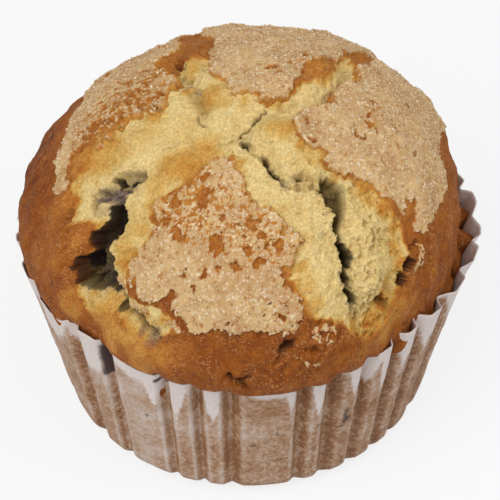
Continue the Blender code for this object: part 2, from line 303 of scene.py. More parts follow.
tears = {
    # the pale crumb that shows between the crust plates
    "outline": (
        (-15, 12), (-12.5, 10), (-10, 9.5), (-9, 5), (-8, 2), (-5.5, -1), (-1, -4.2), (4, -1.6), (8, 2.5),
        (11, 5.5), (12.5, 11), (14.2, 12), (14.8, 8), (14, 3.5), (11, 0.5), (10, -3.5), (6, -5), (3.6, -6.5),
        (4.6, -10.4), (8, -13), (12, -15.6), (17, -17.2), (21, -18.8), (24, -20.5), (25.6, -23),
        (26.8, -25.5), (27.2, -29), (28, -31), (27, -35), (24, -39), (20.4, -38.8), (17.5, -37.4),
        (14.5, -36.4), (11, -35.8), (9, -35), (8, -33), (6.4, -31), (4.8, -30), (5.4, -27), (5.4, -25),
        (3.4, -22.4), (1, -20.8), (-1, -20.6), (-3, -18.4), (-3.6, -16), (-5, -13.8), (-8, -13), (-10, -14.6),
        (-12.5, -17), (-16.5, -18.4), (-18.6, -20.5), (-17.6, -22.8), (-19.2, -24.5), (-20.4, -27),
        (-21.4, -29), (-22.6, -30.2), (-22, -32.6), (-20, -34), (-17.5, -35), (-14.5, -36), (-12.6, -38.2),
        (-14, -39.6), (-17, -40), (-20.5, -38.2), (-24, -34.6), (-26, -32.6), (-29, -32.4), (-31.6, -32.6),
        (-31.6, -30.6), (-34, -29), (-33.6, -27.8), (-31, -26.6), (-31.4, -24.2), (-29, -23.4), (-27, -22.4),
        (-26.6, -20.8), (-25.4, -19.8), (-28, -18.4), (-30, -17.4), (-31.8, -16.4), (-30.6, -14.4),
        (-30.6, -10.5), (-28.5, -8), (-25, -5.4), (-22, -3.6), (-18, -0.6), (-15, 1.2), (-14, 5),
    ),
    # a tear that ends in a crisp overhang on one side and runs out on the other:
    # route, how far it runs out, depth, the side of the overhang (-1 is the right of the route)
    "steps": (
        (((-4.4, -10.2), (-3, -12.5), (-1, -14.2), (1.5, -16.9), (3.2, -18.3), (5.2, -18.5), (7.6, -17.9),
          (8.9, -18.8), (9.2, -20.2), (11.2, -21.6), (10.9, -24), (12.6, -26), (12.4, -27.2), (13.2, -28.8),
          (13.2, -30.2), (14.4, -32), (16.4, -34.4), (17, -36.3), (20.5, -39.2)), 2.6, 2.0, -1),
        (((-20, -14.8), (-22, -16.2), (-22.8, -18), (-22.8, -21), (-24.4, -23), (-25.2, -25), (-24.8, -28),
          (-24, -31)), 1.5, 1.0, 1),
        (((7.4, -16.2), (7.8, -17.2), (6, -16.4), (4.6, -15.8)), 1.2, 0.9, 1),
    ),
    # open valleys between the plates: route, reach, depth
    "valleys": (
        (((-5, -9), (-3, -7), (0, -4.8), (5, -2.6), (10, -1.4), (12.6, 3), (13.4, 9)), 1.8, 1.5),
        (((-10, -4), (-12, 1), (-13, 5), (-15, 10)), 1.9, 1.7),
        (((-7, -9.7), (-12, -11), (-19, -13)), 1.2, 0.8),
        (((-24, -10.5), (-20, -10), (-14, -8.5)), 1.2, 0.4),
        (((-17, -38.6), (-21, -36)), 1.2, 0.7),
        (((25, -31), (23, -33.5), (20.5, -36)), 2.0, 0.9),
    ),
    # thin splits: route, half width, depth, how dark the painted shade in them is
    "splits": (
        (((-11, -4.4), (-10.7, -6), (-9.9, -7.9)), 0.15, 1.0, 0.45),
        (((-0.8, -4.4), (-2, -5.8), (-2.4, -7), (-4.6, -8.8), (-5, -10.2)), 0.16, 1.0, 0.4),
        (((-24.2, -30.8), (-23, -33), (-22, -35), (-19, -38), (-15.6, -40)), 0.3, 1.5, 0.55),
        (((-14.8, 11.6), (-14, 9.6), (-13, 8.8)), 0.4, 1.6, 0.6),
        (((18.6, -22.8), (19, -23.8), (19.3, -24.9)), 0.25, 0.8, 0.2),
        (((-27.6, -14.2), (-27.4, -16), (-27, -17.4)), 0.45, 1.5, 0.35),
        (((-2.6, -46.2), (-0.8, -47.2), (0.6, -49.2)), 0.45, 1.3, 0.7),
        (((-0.8, -47.2), (1.2, -46.4)), 0.4, 1.1, 0.6),
        (((-19.6, -5.6), (-18.4, -5.5)), 0.25, 0.6, 0.3),
        (((-16, -10.1), (-14.2, -9.9)), 0.2, 0.6, 0.3),
        (((-7.4, -10.9), (-5.6, -10.4)), 0.25, 0.8, 0.3),
        (((28.2, -21.6), (27, -23.8)), 0.4, 0.9, 0.5),
        (((12, 20), (16, 24), (17, 29)), 0.35, 1.0, 0.3),
        (((-14, 24), (-9, 29), (-10, 36), (-4, 41)), 0.7, 1.2, 0.2),
        (((36, 22), (30, 26), (24, 26)), 0.6, 1.0, 0.2),
    ),
    # hollows with steep walls: outline, depth, how dark the painted shade is inside and just round it
    "hollows": (
        (((-25, -17.4), (-23.2, -16.8), (-22.5, -18.8), (-22.8, -21), (-23.4, -23.4), (-24.8, -23.2),
          (-25.6, -21), (-25.2, -19.4)), 2.2, 0.97),
        (((-27.6, -20.9), (-25.6, -20.6), (-24.6, -22.4), (-25.2, -24.6), (-25.1, -27), (-24.9, -28.8),
          (-25.6, -30.6), (-29.5, -29.6), (-31.5, -28.6), (-33, -27.6), (-31.6, -26.4), (-32, -24.6),
          (-30.6, -23.7), (-28.3, -23.7)), 1.9, 0.79),
        (((-27.6, -20.8), (-25.6, -20.5), (-24.8, -22.6), (-25.2, -24), (-28, -23.5)), 0.4, 0.95),
        (((-30.6, -23.8), (-27.6, -23.6), (-28, -25.2), (-28.9, -26.6), (-30.8, -25.8)), 1.2, 1.0),
        (((-31, -27.8), (-28.2, -27.6), (-29, -29), (-30.8, -29.6)), 1.0, 0.8),
        (((-27, -14), (-24.5, -13.4), (-23.5, -12.5), (-21, -12), (-19.3, -12.8), (-19, -14), (-20.3, -14.9),
          (-22, -16), (-22.8, -17.6), (-24.6, -18), (-25, -16.4), (-26.8, -15.9)), 1.9, 0.0),
        (((-23.7, -12.9), (-22.9, -12.8), (-22.7, -14.2), (-23.6, -14.3)), 1.6, 0.9),
        (((-22, -14.2), (-21.2, -14), (-20.2, -14.7), (-21.3, -15)), 1.2, 0.9),
        (((-26, -29.6), (-25, -29.4), (-24.2, -31.4), (-25, -31.6)), 1.0, 0.8),
        (((-24.2, -34.4), (-22.8, -33.4), (-22, -34.6), (-22.4, -35.2)), 1.2, 0.75),
        (((8.3, -16.2), (9.5, -16), (12.5, -17.3), (13.3, -20), (13, -22.5), (12.4, -24.6), (11, -23.8),
          (11.3, -21.8), (9.4, -20.2), (8.9, -18.4)), 2.2, 0.22),
        (((8.2, -17.6), (9.3, -17.2), (9.7, -19.4), (8.9, -19.8)), 1.4, 0.45),
        (((11, -23.6), (12.2, -24), (13.2, -25.8), (12.4, -26)), 1.2, 0.3),
        (((12, -26), (13.6, -25.6), (15.2, -27.3), (15, -29.6), (13.4, -29)), 2.6, 0.85),
        (((12.8, -29.8), (14.4, -29.8), (16.2, -31.8), (14.8, -32.2)), 2.2, 0.6),
        (((15, -32.4), (17.2, -32.6), (18.4, -34.4), (16.7, -35.2)), 2.0, 0.5),
        (((-3.8, -10.5), (-3, -10.9), (-2.8, -12.3), (-3.7, -12.3), (-4.2, -11.3)), 2.0, 0.45),
        (((-1.1, -12.5), (0, -12.7), (0.2, -14.2), (-0.8, -14)), 1.9, 0.2),
        (((-0.3, -14.5), (0.5, -14.7), (2.3, -16.8), (2, -17.4), (0.7, -16.3)), 2.2, 0.5),
        (((3.6, -16.2), (4.6, -15.9), (5.8, -16.6), (4.6, -17)), 1.6, 0.3),
        (((27, -25), (28, -25.2), (28.4, -26.8), (27.3, -27)), 2.0, 0.8),
        (((27.2, -27.8), (28.5, -28), (29, -29.6), (27.4, -29.4)), 1.8, 0.75),
        (((9.5, -40.6), (10.8, -39.9), (12.2, -40), (12.4, -41), (10.8, -41.9), (9.6, -41.6)), 1.2, 0.0),
        (((5.4, -39.6), (6.6, -39.4), (7, -40.2), (6.2, -41.2), (5, -41)), 1.2, 0.7),
        (((6.2, -27.6), (7.3, -27.8), (7.7, -28.8), (6.7, -29)), 0.5, 0.0),
        (((22.3, -32.8), (23.5, -32.1), (26.8, -32.2), (27.2, -33.3), (24.5, -33.8),
          (22.8, -33.4)), 1.3, 0.3),
        (((-37.4, 6.6), (-36.4, 7), (-36.6, 8), (-37.6, 7.8)), 1.0, 0.8),
        (((-31.6, -14.6), (-30.8, -15), (-31.2, -16.8), (-32.4, -16.6)), 0.9, 0.2),
        (((10.6, 20), (12, 19.4), (13, 21), (11.6, 22)), 1.0, 0.2),
        (((-30, 26), (-28.4, 26.4), (-28.6, 28.2), (-30.2, 27.8)), 1.0, 0.3),
    ),
    # place, radius, height
    "lumps": (
        (-33.0, -21.5, 4.6, 1.9), (-35.5, -30, 3.0, 0.9), (29.4, -24.4, 2.2, 1.1), (31, -31, 3.0, 0.5),
        (13.5, -40.4, 3.6, 0.9), (19.5, -41.0, 3.0, 0.9), (-21.0, -41.0, 6.0, 0.7), (7.0, -29.0, 4.0, 1.0),
        (12.0, -34.0, 3.5, 0.9), (1.0, -18.0, 2.6, 0.7), (-27.0, 4.0, 8.0, 0.7), (22.0, -7.0, 10.0, 0.7),
        (-6.0, -30.0, 9.0, 0.9), (-13.5, -14.0, 3.6, 1.1), (-9.0, -2.0, 2.8, 1.2), (-28, -32, 2.6, 0.7),
        (-21.0, -8.0, 6.0, 0.8), (1.6, -9.2, 3.0, 1.1), (16.5, -24, 2.4, 0.9), (20.5, -27.5, 3.4, 0.8),
        (18.6, -31.5, 2.2, 0.9), (14.4, -20.6, 1.4, 0.7), (-22.5, -25.0, 3.0, 1.1), (8.4, 5.0, 2.8, 0.7),
        (-12.8, 9.0, 2.0, 0.7), (-12.4, 1.6, 1.1, 1.4), (-25.9, -17.6, 1.4, 0.9), (-28, -12.5, 2.4, 0.6),
        (7, -15, 1.6, 0.7), (3.6, -13.6, 2.0, 0.5), (-26, -20, 1.2, 0.5),
        (0, 30, 17, -1.3), (-24, 22, 12, -1.2), (27, 20, 12, -1.1), (-40, 4, 12, -0.5), (40, 0, 12, -0.5),
        (-7, 33, 6, 0.9), (18, 34, 7, 0.8), (-28, 33, 6, 0.8), (34, 16, 5, 0.7), (4, 44, 7, 0.5),
    ),
    # place, radius and how much rougher the crumb is there
    "rough": (
        (11, -19, 4, 0.6), (17, -22, 5, 0.7), (18, -28, 4.5, 0.8), (19, -34, 4.5, 0.8), (-25, -15, 4, 0.5),
        (-28, -27, 4.5, 0.6), (-3, -12, 3, 0.3), (24, -35, 4, 0.6), (4, -14, 3, 0.5), (-12, 5, 3, 0.4),
        (12, 5, 3, 0.3),
    ),
    # place, radius and how rough the brown crust is there
    "nuggets": (
        (12, -38.5, 5, 1.0), (21, -41, 4, 0.7), (29, -25, 4, 1.0), (31, -21, 4, 0.5), (-31, -21, 4, 0.9),
        (-25, -1, 7, 0.8), (-17, 9, 6, 0.9), (0, -43, 6, 0.45), (-20, -19, 4, 0.4), (-31, -34, 4, 0.3),
        (16, 20, 6, 0.6), (-2, 41, 8, 0.5), (-30, 28, 6, 0.6), (38, 24, 6, 0.5), (-33, -12, 4, 0.5),
        (8, -43, 5, 0.6), (-11, 13, 4, 0.7),
    ),
    "skin": 1.3,                   # how far the fine-meshed crumb reaches under the crust around it
}


# Height of unbroken crust over the plain dome: broad waves, lumps and a finely uneven skin.
def crustLevel(u, v):
    level = 0.45 + 0.35 * np.sin(0.62 * u + 0.9) * np.sin(0.55 * v - 0.4)
    level = level + softSpots(u, v, tears["lumps"]) + 0.2 * layeredNoise(u, v, 6.0, 3)
    return level


# Distance inside the torn crumb's ragged outline.
def tornDepth(u, v):
    ragU, ragV = raggedPlace(u, v, 0.7, 0.35, 40)
    return depthInside(ragU, ragV, tears["outline"])


# 1 on crust and 0 in the torn crumb.
def crustShare(u, v):
    return eased(-tornDepth(u, v), -0.3, 0.6)


# How far the surface drops into tears, valleys, splits and hollows, and how dark the painted shade is
# there: a step's drop is whole at its overhang and runs out on the other side, a valley's and a split's is
# a bell, and a hollow's has steep walls. Only splits and hollows get painted shade.
def tearDrop(u, v):
    ragU, ragV = raggedPlace(u, v, 0.35, 0.3, 90)
    drop, paintedShade = np.zeros(np.shape(u)), np.zeros(np.shape(u))
    for route, reach, depth, overhang in tears["steps"]:
        away, side, along = routeDistance(ragU, ragV, route)
        inwards = -side * away * overhang
        fade = eased(along, 0, 0.1) * (1 - eased(along, 0.92, 1.0))
        drop += depth * fade * eased(inwards, -0.1, 0.35) * np.exp(-((np.maximum(inwards, 0) / reach) ** 1.5))
    for route, reach, depth in tears["valleys"]:
        away, side, along = routeDistance(ragU, ragV, route)
        drop += depth * np.exp(-((away / reach) ** 2))
    for route, half, depth, shadeDarkness in tears["splits"]:
        away, side, along = routeDistance(ragU, ragV, route)
        narrow = half * (1.15 - 0.9 * np.abs(along - 0.45))
        bell = np.exp(-((away / narrow) ** 2))
        drop += depth * bell
        paintedShade = np.maximum(paintedShade, shadeDarkness * bell)
    for outline, depth, shadeDarkness in tears["hollows"]:
        inside = depthInside(ragU, ragV, outline)
        drop += depth * eased(inside, -0.12, 0.3 + 0.1 * depth)
        paintedShade = np.maximum(paintedShade, shadeDarkness * eased(inside, -0.35, -0.05))
    return drop, paintedShade


# The cake's relief: crust level, dropped where the crumb is torn, with lumps and pores in the crumb and
# nuggets on rough crust.
def cakeRelief(u, v):
    crust = crustShare(u, v)
    rough = np.clip(0.2 + softSpots(u, v, tears["rough"]), 0, 1.2)
    billow = np.abs(layeredNoise(u, v, 2.2, 60, 3, 0.55))
    crumb = -0.45 + 0.3 * layeredNoise(u, v, 4.2, 61, 2) + rough * 0.9 * (0.4 - billow)
    crumb += (0.07 + 0.13 * rough) * layeredNoise(u, v, 0.75, 66, 3, 0.7)
    away, number = strewnCells(u, v, 1.9, 70)
    crumb -= (0.2 + 0.5 * rough) * (number > 0.5) * eased(0.12 + 0.22 * number - away, -0.05, 0.08)
    away, number = strewnCells(u, v, 0.7, 74)
    crumb -= 0.14 * (number > 0.55) * np.exp(-((away / 0.3) ** 2))
    nuggets = np.clip(0.08 + softSpots(u, v, tears["nuggets"]), 0, 1)
    skin = 0.06 * layeredNoise(u, v, 0.9, 80, 3, 0.6)
    skin += nuggets * 0.7 * (0.4 - np.abs(layeredNoise(u, v, 2.0, 84)))
    away, number = strewnCells(u, v, 2.2, 88)
    skin -= nuggets * 0.7 * (number > 0.6) * np.exp(-((away / 0.28) ** 2))
    return crustLevel(u, v) - 0.3 + skin * crust + crumb * (1 - crust) - tearDrop(u, v)[0]


toast = {
    "crumb": 0.05,
    "crust": 0.63,
    "flank": 0.19,                 # what the sides are browner by than the top
    # place, radius and how brown it is there
    "spots": (
        # torn crumb with a golden skin
        (-13, -7, 3, 0.14), (-18, -6, 3, 0.2), (-22, -8, 2.6, 0.26), (-26, -8.5, 3, 0.38),
        (-28.6, -6.6, 2, 0.48), (-24, -5.6, 1.8, 0.46), (-17, -2.8, 1.6, 0.46), (-29.6, -11, 1.2, 0.36),
        (-30.6, -13, 1.3, 0.6), (-31.6, -15.6, 1.2, 0.62), (-10, -12.2, 3.2, 0.38), (-14.4, -13.8, 3, 0.46),
        (-12, -15.4, 1.8, 0.46), (-17.4, -16.2, 2, 0.32), (-18, -19.6, 1.5, 0.4), (-21.6, -18.6, 1.6, 0.14),
        (-20.6, -22, 2, 0.26), (-22.6, -25, 2, 0.32), (-22.6, -27.6, 1.7, 0.44), (-20.8, -29.4, 1.4, 0.5),
        (-29.4, -23.3, 1.1, 0.75), (-31.4, -23.7, 1, 0.75), (-28.6, -31.4, 2, 0.42), (-26, -32.4, 2, 0.36),
        (-24.4, -33.4, 1.5, 0.36), (-21, -27, 1.2, 0.46), (-4, -15, 1.2, 0.4), (-19, -23.6, 1.4, 0.34),
        (3, -21.4, 1.4, 0.3), (6.2, -29, 1.2, 0.36), (7.4, -34.4, 1, 0.5), (-10.6, -15, 1.2, 0.5),
        (-9, -1.4, 2.6, 0.44), (-7, -3.2, 1.4, 0.3), (-12.4, 1.6, 1.1, 0.46), (-12, 8, 2, 0.3),
        (0.6, -8.4, 1.8, 0.36), (2.6, -8.8, 1.5, 0.42), (5, -11.4, 1.2, 0.44), (8.4, -13.2, 1.3, 0.5),
        (6, -13.6, 2, 0.2), (11, -15.6, 1.1, 0.36), (16, -17, 1.6, 0.5), (18, -18.6, 1.6, 0.4),
        (20.6, -19.6, 1.4, 0.5), (23.6, -21.4, 1.5, 0.52), (24.4, -24.4, 1.5, 0.42), (26, -26.6, 1.4, 0.5),
        (25, -29.6, 1.5, 0.34), (21, -24.6, 2, 0.14), (7.6, -31.6, 1.8, 0.26), (9.4, -34, 1.6, 0.3),
        (4.6, -22.4, 2.4, 0.12), (12.6, -29, 2.6, 0.1), (6, -25.4, 1.2, 0.2), (18, -37.8, 1.2, 0.16),
        (-26, -20.2, 1.2, 0.44), (-4, -3.6, 1.2, 0.34), (1, -3, 1.4, 0.3),
        # golden crust at the foot of the two big tears
        (25, -33, 2, 0.66), (24, -36, 2, 0.46), (22.4, -36.8, 1.1, 0.62), (30, -33, 3.6, 0.55),
        (29, -37, 3.6, 0.52), (34, -31, 2.6, 0.56), (-35.5, -30.4, 3.2, 0.52), (-34, -28.6, 1.4, 0.6),
        (-28.4, -34.4, 2.2, 0.46), (-30, -32.8, 1.6, 0.36), (-26, -37, 3, 0.5), (-20.4, -41, 3.4, 0.48),
        (-16, -43, 2.8, 0.54), (-12, -42.4, 2.6, 0.64), (-27.4, -31.2, 1.4, 0.14), (-23, -38.8, 2.2, 0.42),
        (-19.6, -37, 1.5, 0.22), (-16.8, -38.2, 1.3, 0.24), (-22.4, -35, 1, 0.3), (-14.6, -37, 1.2, 0.42),
        (-12.6, -38.6, 1, 0.6), (-28, -39.5, 3, 0.5), (-22, -45, 4, 0.56),
        # browned crust, with small dark spots on holes and crevices that are painted shade
        (-40, -4, 6.5, 0.86), (-43, 8, 8, 0.92), (-37, -19, 5, 0.73), (-33, -21.6, 3, 0.7),
        (-29, -20.6, 2, 0.64), (-32, -25.6, 2, 0.72), (-28.6, -22.8, 1.0, 0.8), (-31, -25, 1.0, 0.88),
        (-31, -3.6, 2.4, 0.68), (-33.6, -12.6, 2.4, 0.64), (-29, -7.8, 1.2, 0.62), (0, -44, 7, 0.83),
        (-5, -42.4, 4, 0.82), (11, -40.9, 1.3, 0.86), (6, -40.2, 1, 0.95), (18, -41, 4, 0.74),
        (24, -41, 3, 0.66), (9, -38, 1.6, 0.76), (34, -23, 4, 0.72), (37, -13, 4.4, 0.72),
        (29.6, -29, 1.4, 0.78), (27.6, -25.8, 0.8, 0.95), (28, -28.6, 0.8, 0.9), (28, -21.4, 1.2, 0.74),
        (32.4, -15.6, 1.6, 0.68), (41, 2, 6, 0.76), (-11, 13.5, 3.4, 0.7), (-14, 11.4, 1.2, 0.8),
        (8, 4.6, 2.6, 0.58), (-7.6, 14.6, 1, 0.7), (10, -45, 5, 0.8), (30, -27, 1.6, 0.66),
    ),
}

stains = (                         # juice of the berries: place, radius and strength
    (-26, -14.8, 1.1, 1.0), (-24.4, -15.3, 1.4, 1.0), (-22.6, -15.4, 1.2, 1.0), (-23.6, -16.8, 1.1, 1.0),
    (-21, -15, 0.9, 0.8), (-26.9, -15.6, 0.7, 0.8), (-25.8, -17.6, 1.2, 0.3), (-21.2, -13.3, 1.7, 0.25),
    (-26.2, -29.4, 1.6, 0.8), (-28.2, -28.2, 1.6, 0.5), (-24.6, -31.2, 0.9, 0.9), (-17, -39.4, 1.3, 0.65),
    (-19, -38.2, 0.9, 0.5), (-12.8, 3.4, 0.8, 0.7), (-11, 1, 0.7, 0.5), (9, -0.8, 0.8, 0.4),
    (-3.4, -10, 1, 0.2), (-27, -26.4, 2, 0.35), (-23.9, -19.4, 1.1, 0.6), (2.8, -17.6, 0.8, 0.25),
    (14.3, -29.6, 0.6, 0.3),
)


# How brown the cake is: 0 pale crumb, 0.45 golden, 0.65 orange-brown and 1 dark brown. Each spot draws
# the level towards its own, over a round patch with a ragged edge.
def toastLevel(u, v, crust):
    arc = np.hypot(u, v)
    level = toast["crumb"] + (toast["crust"] - toast["crumb"]) * crust
    level = level + toast["flank"] * crust * eased(arc, 29, 40)
    ragU, ragV = raggedPlace(u, v, 0.5, 0.25, 110)
    for spotU, spotV, radius, brown in toast["spots"]:
        weight = np.exp(-((((ragU - spotU) ** 2 + (ragV - spotV) ** 2) / radius ** 2) ** 1.5))
        level = level + (brown - level) * weight
    return level + (0.025 + 0.05 * level) * layeredNoise(u, v, 2.6, 120, 4, 0.65)


def stainLevel(u, v):
    ragU, ragV = raggedPlace(u, v, 0.3, 0.3, 135)
    level = np.zeros(np.shape(u))
    for spotU, spotV, radius, strength in stains:
        near = np.exp(-((((ragU - spotU) ** 2 + (ragV - spotV) ** 2) / radius ** 2) ** 2))
        level = np.maximum(level, strength * near)
    return level


# A mesh of these points in millimetres and these faces, with one float attribute for each extra array.
def meshObject(name, points, faces, material, smooth=True, **attributes):
    data = bpy.data.meshes.new(name)
    data.from_pydata(np.asarray(points).reshape(-1, 3) * mm, [], faces)
    for attribute, values in attributes.items():
        layer = data.attributes.new(attribute, "FLOAT", "POINT")
        layer.data.foreach_set("value", np.asarray(values, np.float32).ravel())
    data.polygons.foreach_set("use_smooth", np.full(len(data.polygons), smooth))
    data.materials.append(material)
    data.update()
    made = bpy.data.objects.new(name, data)
    bpy.context.scene.collection.objects.link(made)
    return made


# The faces between neighbouring rows and columns of a grid of vertices.
def gridFaces(rows, columns, closed=False):
    index = np.arange(rows * columns).reshape(rows, columns)
    if closed:
        index = np.concatenate([index, index[:, :1]], 1)
    return np.stack([index[:-1, :-1], index[:-1, 1:], index[1:, 1:], index[1:, :-1]], -1).reshape(-1, 4)


def finishPiece(piece, slot, *nodes):
    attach(piece, "root")
    if nodes:
        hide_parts(*nodes)
    print(piece.name, len(piece.data.polygons), "faces")
    return piece


# Node helpers: a node with its settings, and the socket or value that feeds an input.
def addNode(tree, kind, settings=None, **feeds):
    node = tree.nodes.new(kind)
    for key, value in (settings or {}).items():
        setattr(node, key, value)
    for key, value in feeds.items():
        feed(tree, node.inputs[int(key[1:]) if key[1:].isdigit() else key.replace("_", " ")], value)
    return node


def feed(tree, socket, value):
    if isinstance(value, bpy.types.NodeSocket):
        tree.links.new(value, socket)
    elif isinstance(value, tuple) and len(value) == 3 and socket.type == "RGBA":
        socket.default_value = (*value, 1)
    else:
        socket.default_value = value


def newGroup(name, inputs, outputs):
    group = bpy.data.node_groups.new(name, "ShaderNodeTree")
    for label, default in inputs.items():
        socket = group.interface.new_socket(label, in_out="INPUT", socket_type="NodeSocketFloat")
        socket.default_value = default
    for label in outputs:
        group.interface.new_socket(label, in_out="OUTPUT", socket_type="NodeSocketFloat")
    return group, group.nodes.new("NodeGroupInput"), group.nodes.new("NodeGroupOutput")


# Soft blotches: noise of a size in millimetres, stretched to run from 0 to 1 between two levels.
def mottleGroup():
    inputs = {"Size": 2.0, "Low": 0.4, "High": 0.6, "Distortion": 0.0}
    group, given, result = newGroup("mottle", inputs, ["Mask"])
    place = addNode(group, "ShaderNodeTexCoord")
    scale = addNode(group, "ShaderNodeMath", {"operation": "DIVIDE"}, _0=1000.0, _1=given.outputs["Size"])
    noise = addNode(group, "ShaderNodeTexNoise", None, Vector=place.outputs["Object"], Scale=scale.outputs[0],
                    Detail=5.0, Roughness=0.6, Distortion=given.outputs["Distortion"])
    spread = addNode(group, "ShaderNodeMapRange", {"interpolation_type": "SMOOTHSTEP"},
                     Value=noise.outputs[0], From_Min=given.outputs["Low"], From_Max=given.outputs["High"])
    group.links.new(spread.outputs[0], result.inputs["Mask"])
    return group


# Small flecks: strewn cells of a size in millimetres, of which a share is lit.
def fleckGroup():
    group, given, result = newGroup("flecks", {"Size": 0.6, "Share": 0.3, "Radius": 0.4}, ["Mask"])
    place = addNode(group, "ShaderNodeTexCoord")
    scale = addNode(group, "ShaderNodeMath", {"operation": "DIVIDE"}, _0=1000.0, _1=given.outputs["Size"])
    cells = addNode(group, "ShaderNodeTexVoronoi", None, Vector=place.outputs["Object"],
                    Scale=scale.outputs[0])
    parts = addNode(group, "ShaderNodeSeparateColor", None, Color=cells.outputs["Color"])
    chosen = addNode(group, "ShaderNodeMath", {"operation": "LESS_THAN"}, _0=parts.outputs[0],
                     _1=given.outputs["Share"])
    near = addNode(group, "ShaderNodeMapRange", None, Value=cells.outputs["Distance"],
                   From_Min=given.outputs["Radius"], From_Max=0.1)
    mask = addNode(group, "ShaderNodeMath", {"operation": "MULTIPLY"}, _0=chosen.outputs[0],
                   _1=near.outputs[0])
    group.links.new(mask.outputs[0], result.inputs["Mask"])
    return group


mottle = mottleGroup()
flecks = fleckGroup()


def useGroup(tree, group, **values):
    node = addNode(tree, "ShaderNodeGroup", {"node_tree": group})
    for key, value in values.items():
        feed(tree, node.inputs[key], value)
    return node


def newMaterial(name, roughness, specular=0.5):
    material = bpy.data.materials.new(name)
    material.use_nodes = True
    shader = material.node_tree.nodes["Principled BSDF"]
    shader.inputs["Roughness"].default_value = roughness
    shader.inputs["Specular IOR Level"].default_value = specular
    return material, material.node_tree, shader


def mixColour(tree, share, first, second, blend="MIX"):
    node = addNode(tree, "ShaderNodeMix", {"data_type": "RGBA", "blend_type": blend})
    feed(tree, node.inputs[0], share)
    feed(tree, node.inputs[6], first)
    feed(tree, node.inputs[7], second)
    return node.outputs[2]


def maths(tree, operation, first, second):
    return addNode(tree, "ShaderNodeMath", {"operation": operation}, _0=first, _1=second).outputs[0]


def readAttribute(tree, name):
    return addNode(tree, "ShaderNodeAttribute", {"attribute_name": name}).outputs["Fac"]


def colourRamp(tree, level, stops):
    ramp = addNode(tree, "ShaderNodeValToRGB", None, Fac=level)
    elements = ramp.color_ramp.elements
    elements[0].position, elements[1].position = stops[0][0], stops[-1][0]
    elements[0].color, elements[1].color = (*stops[0][1], 1), (*stops[-1][1], 1)
    for position, colour in stops[1:-1]:
        elements.new(position).color = (*colour, 1)
    return ramp.outputs["Color"]


def addBump(tree, shader, height, strength, distance):
    bump = addNode(tree, "ShaderNodeBump", None, Strength=strength, Distance=distance * mm, Height=height)
    tree.links.new(bump.outputs["Normal"], shader.inputs["Normal"])


bakedColours = {
    "toast": (
        (0.00, (0.715, 0.550, 0.250)), (0.16, (0.655, 0.460, 0.170)), (0.32, (0.600, 0.360, 0.095)),
        (0.46, (0.550, 0.270, 0.052)), (0.56, (0.470, 0.185, 0.030)), (0.66, (0.380, 0.126, 0.020)),
        (0.78, (0.300, 0.086, 0.012)), (0.90, (0.205, 0.050, 0.007)), (1.00, (0.100, 0.024, 0.005)),
    ),
    "deep": (0.230, 0.155, 0.050),     # painted shade on the crumb down in the cracks
    # near-black painted shade in the hollows and splits
    "hollow": (0.012, 0.006, 0.004),
    "stain": (0.060, 0.032, 0.034),
    "stainPale": (0.250, 0.175, 0.155),
    # pale flecks on the crust: sugar dust and painted glints
    "speck": (0.600, 0.330, 0.150),
    "speckDark": (0.150, 0.045, 0.012),
    "sugar": (0.640, 0.428, 0.198),
    "sugarPale": (0.900, 0.740, 0.520),
    "sugarMelted": (0.430, 0.195, 0.062),
    "sugarTan": (0.540, 0.330, 0.150),
}
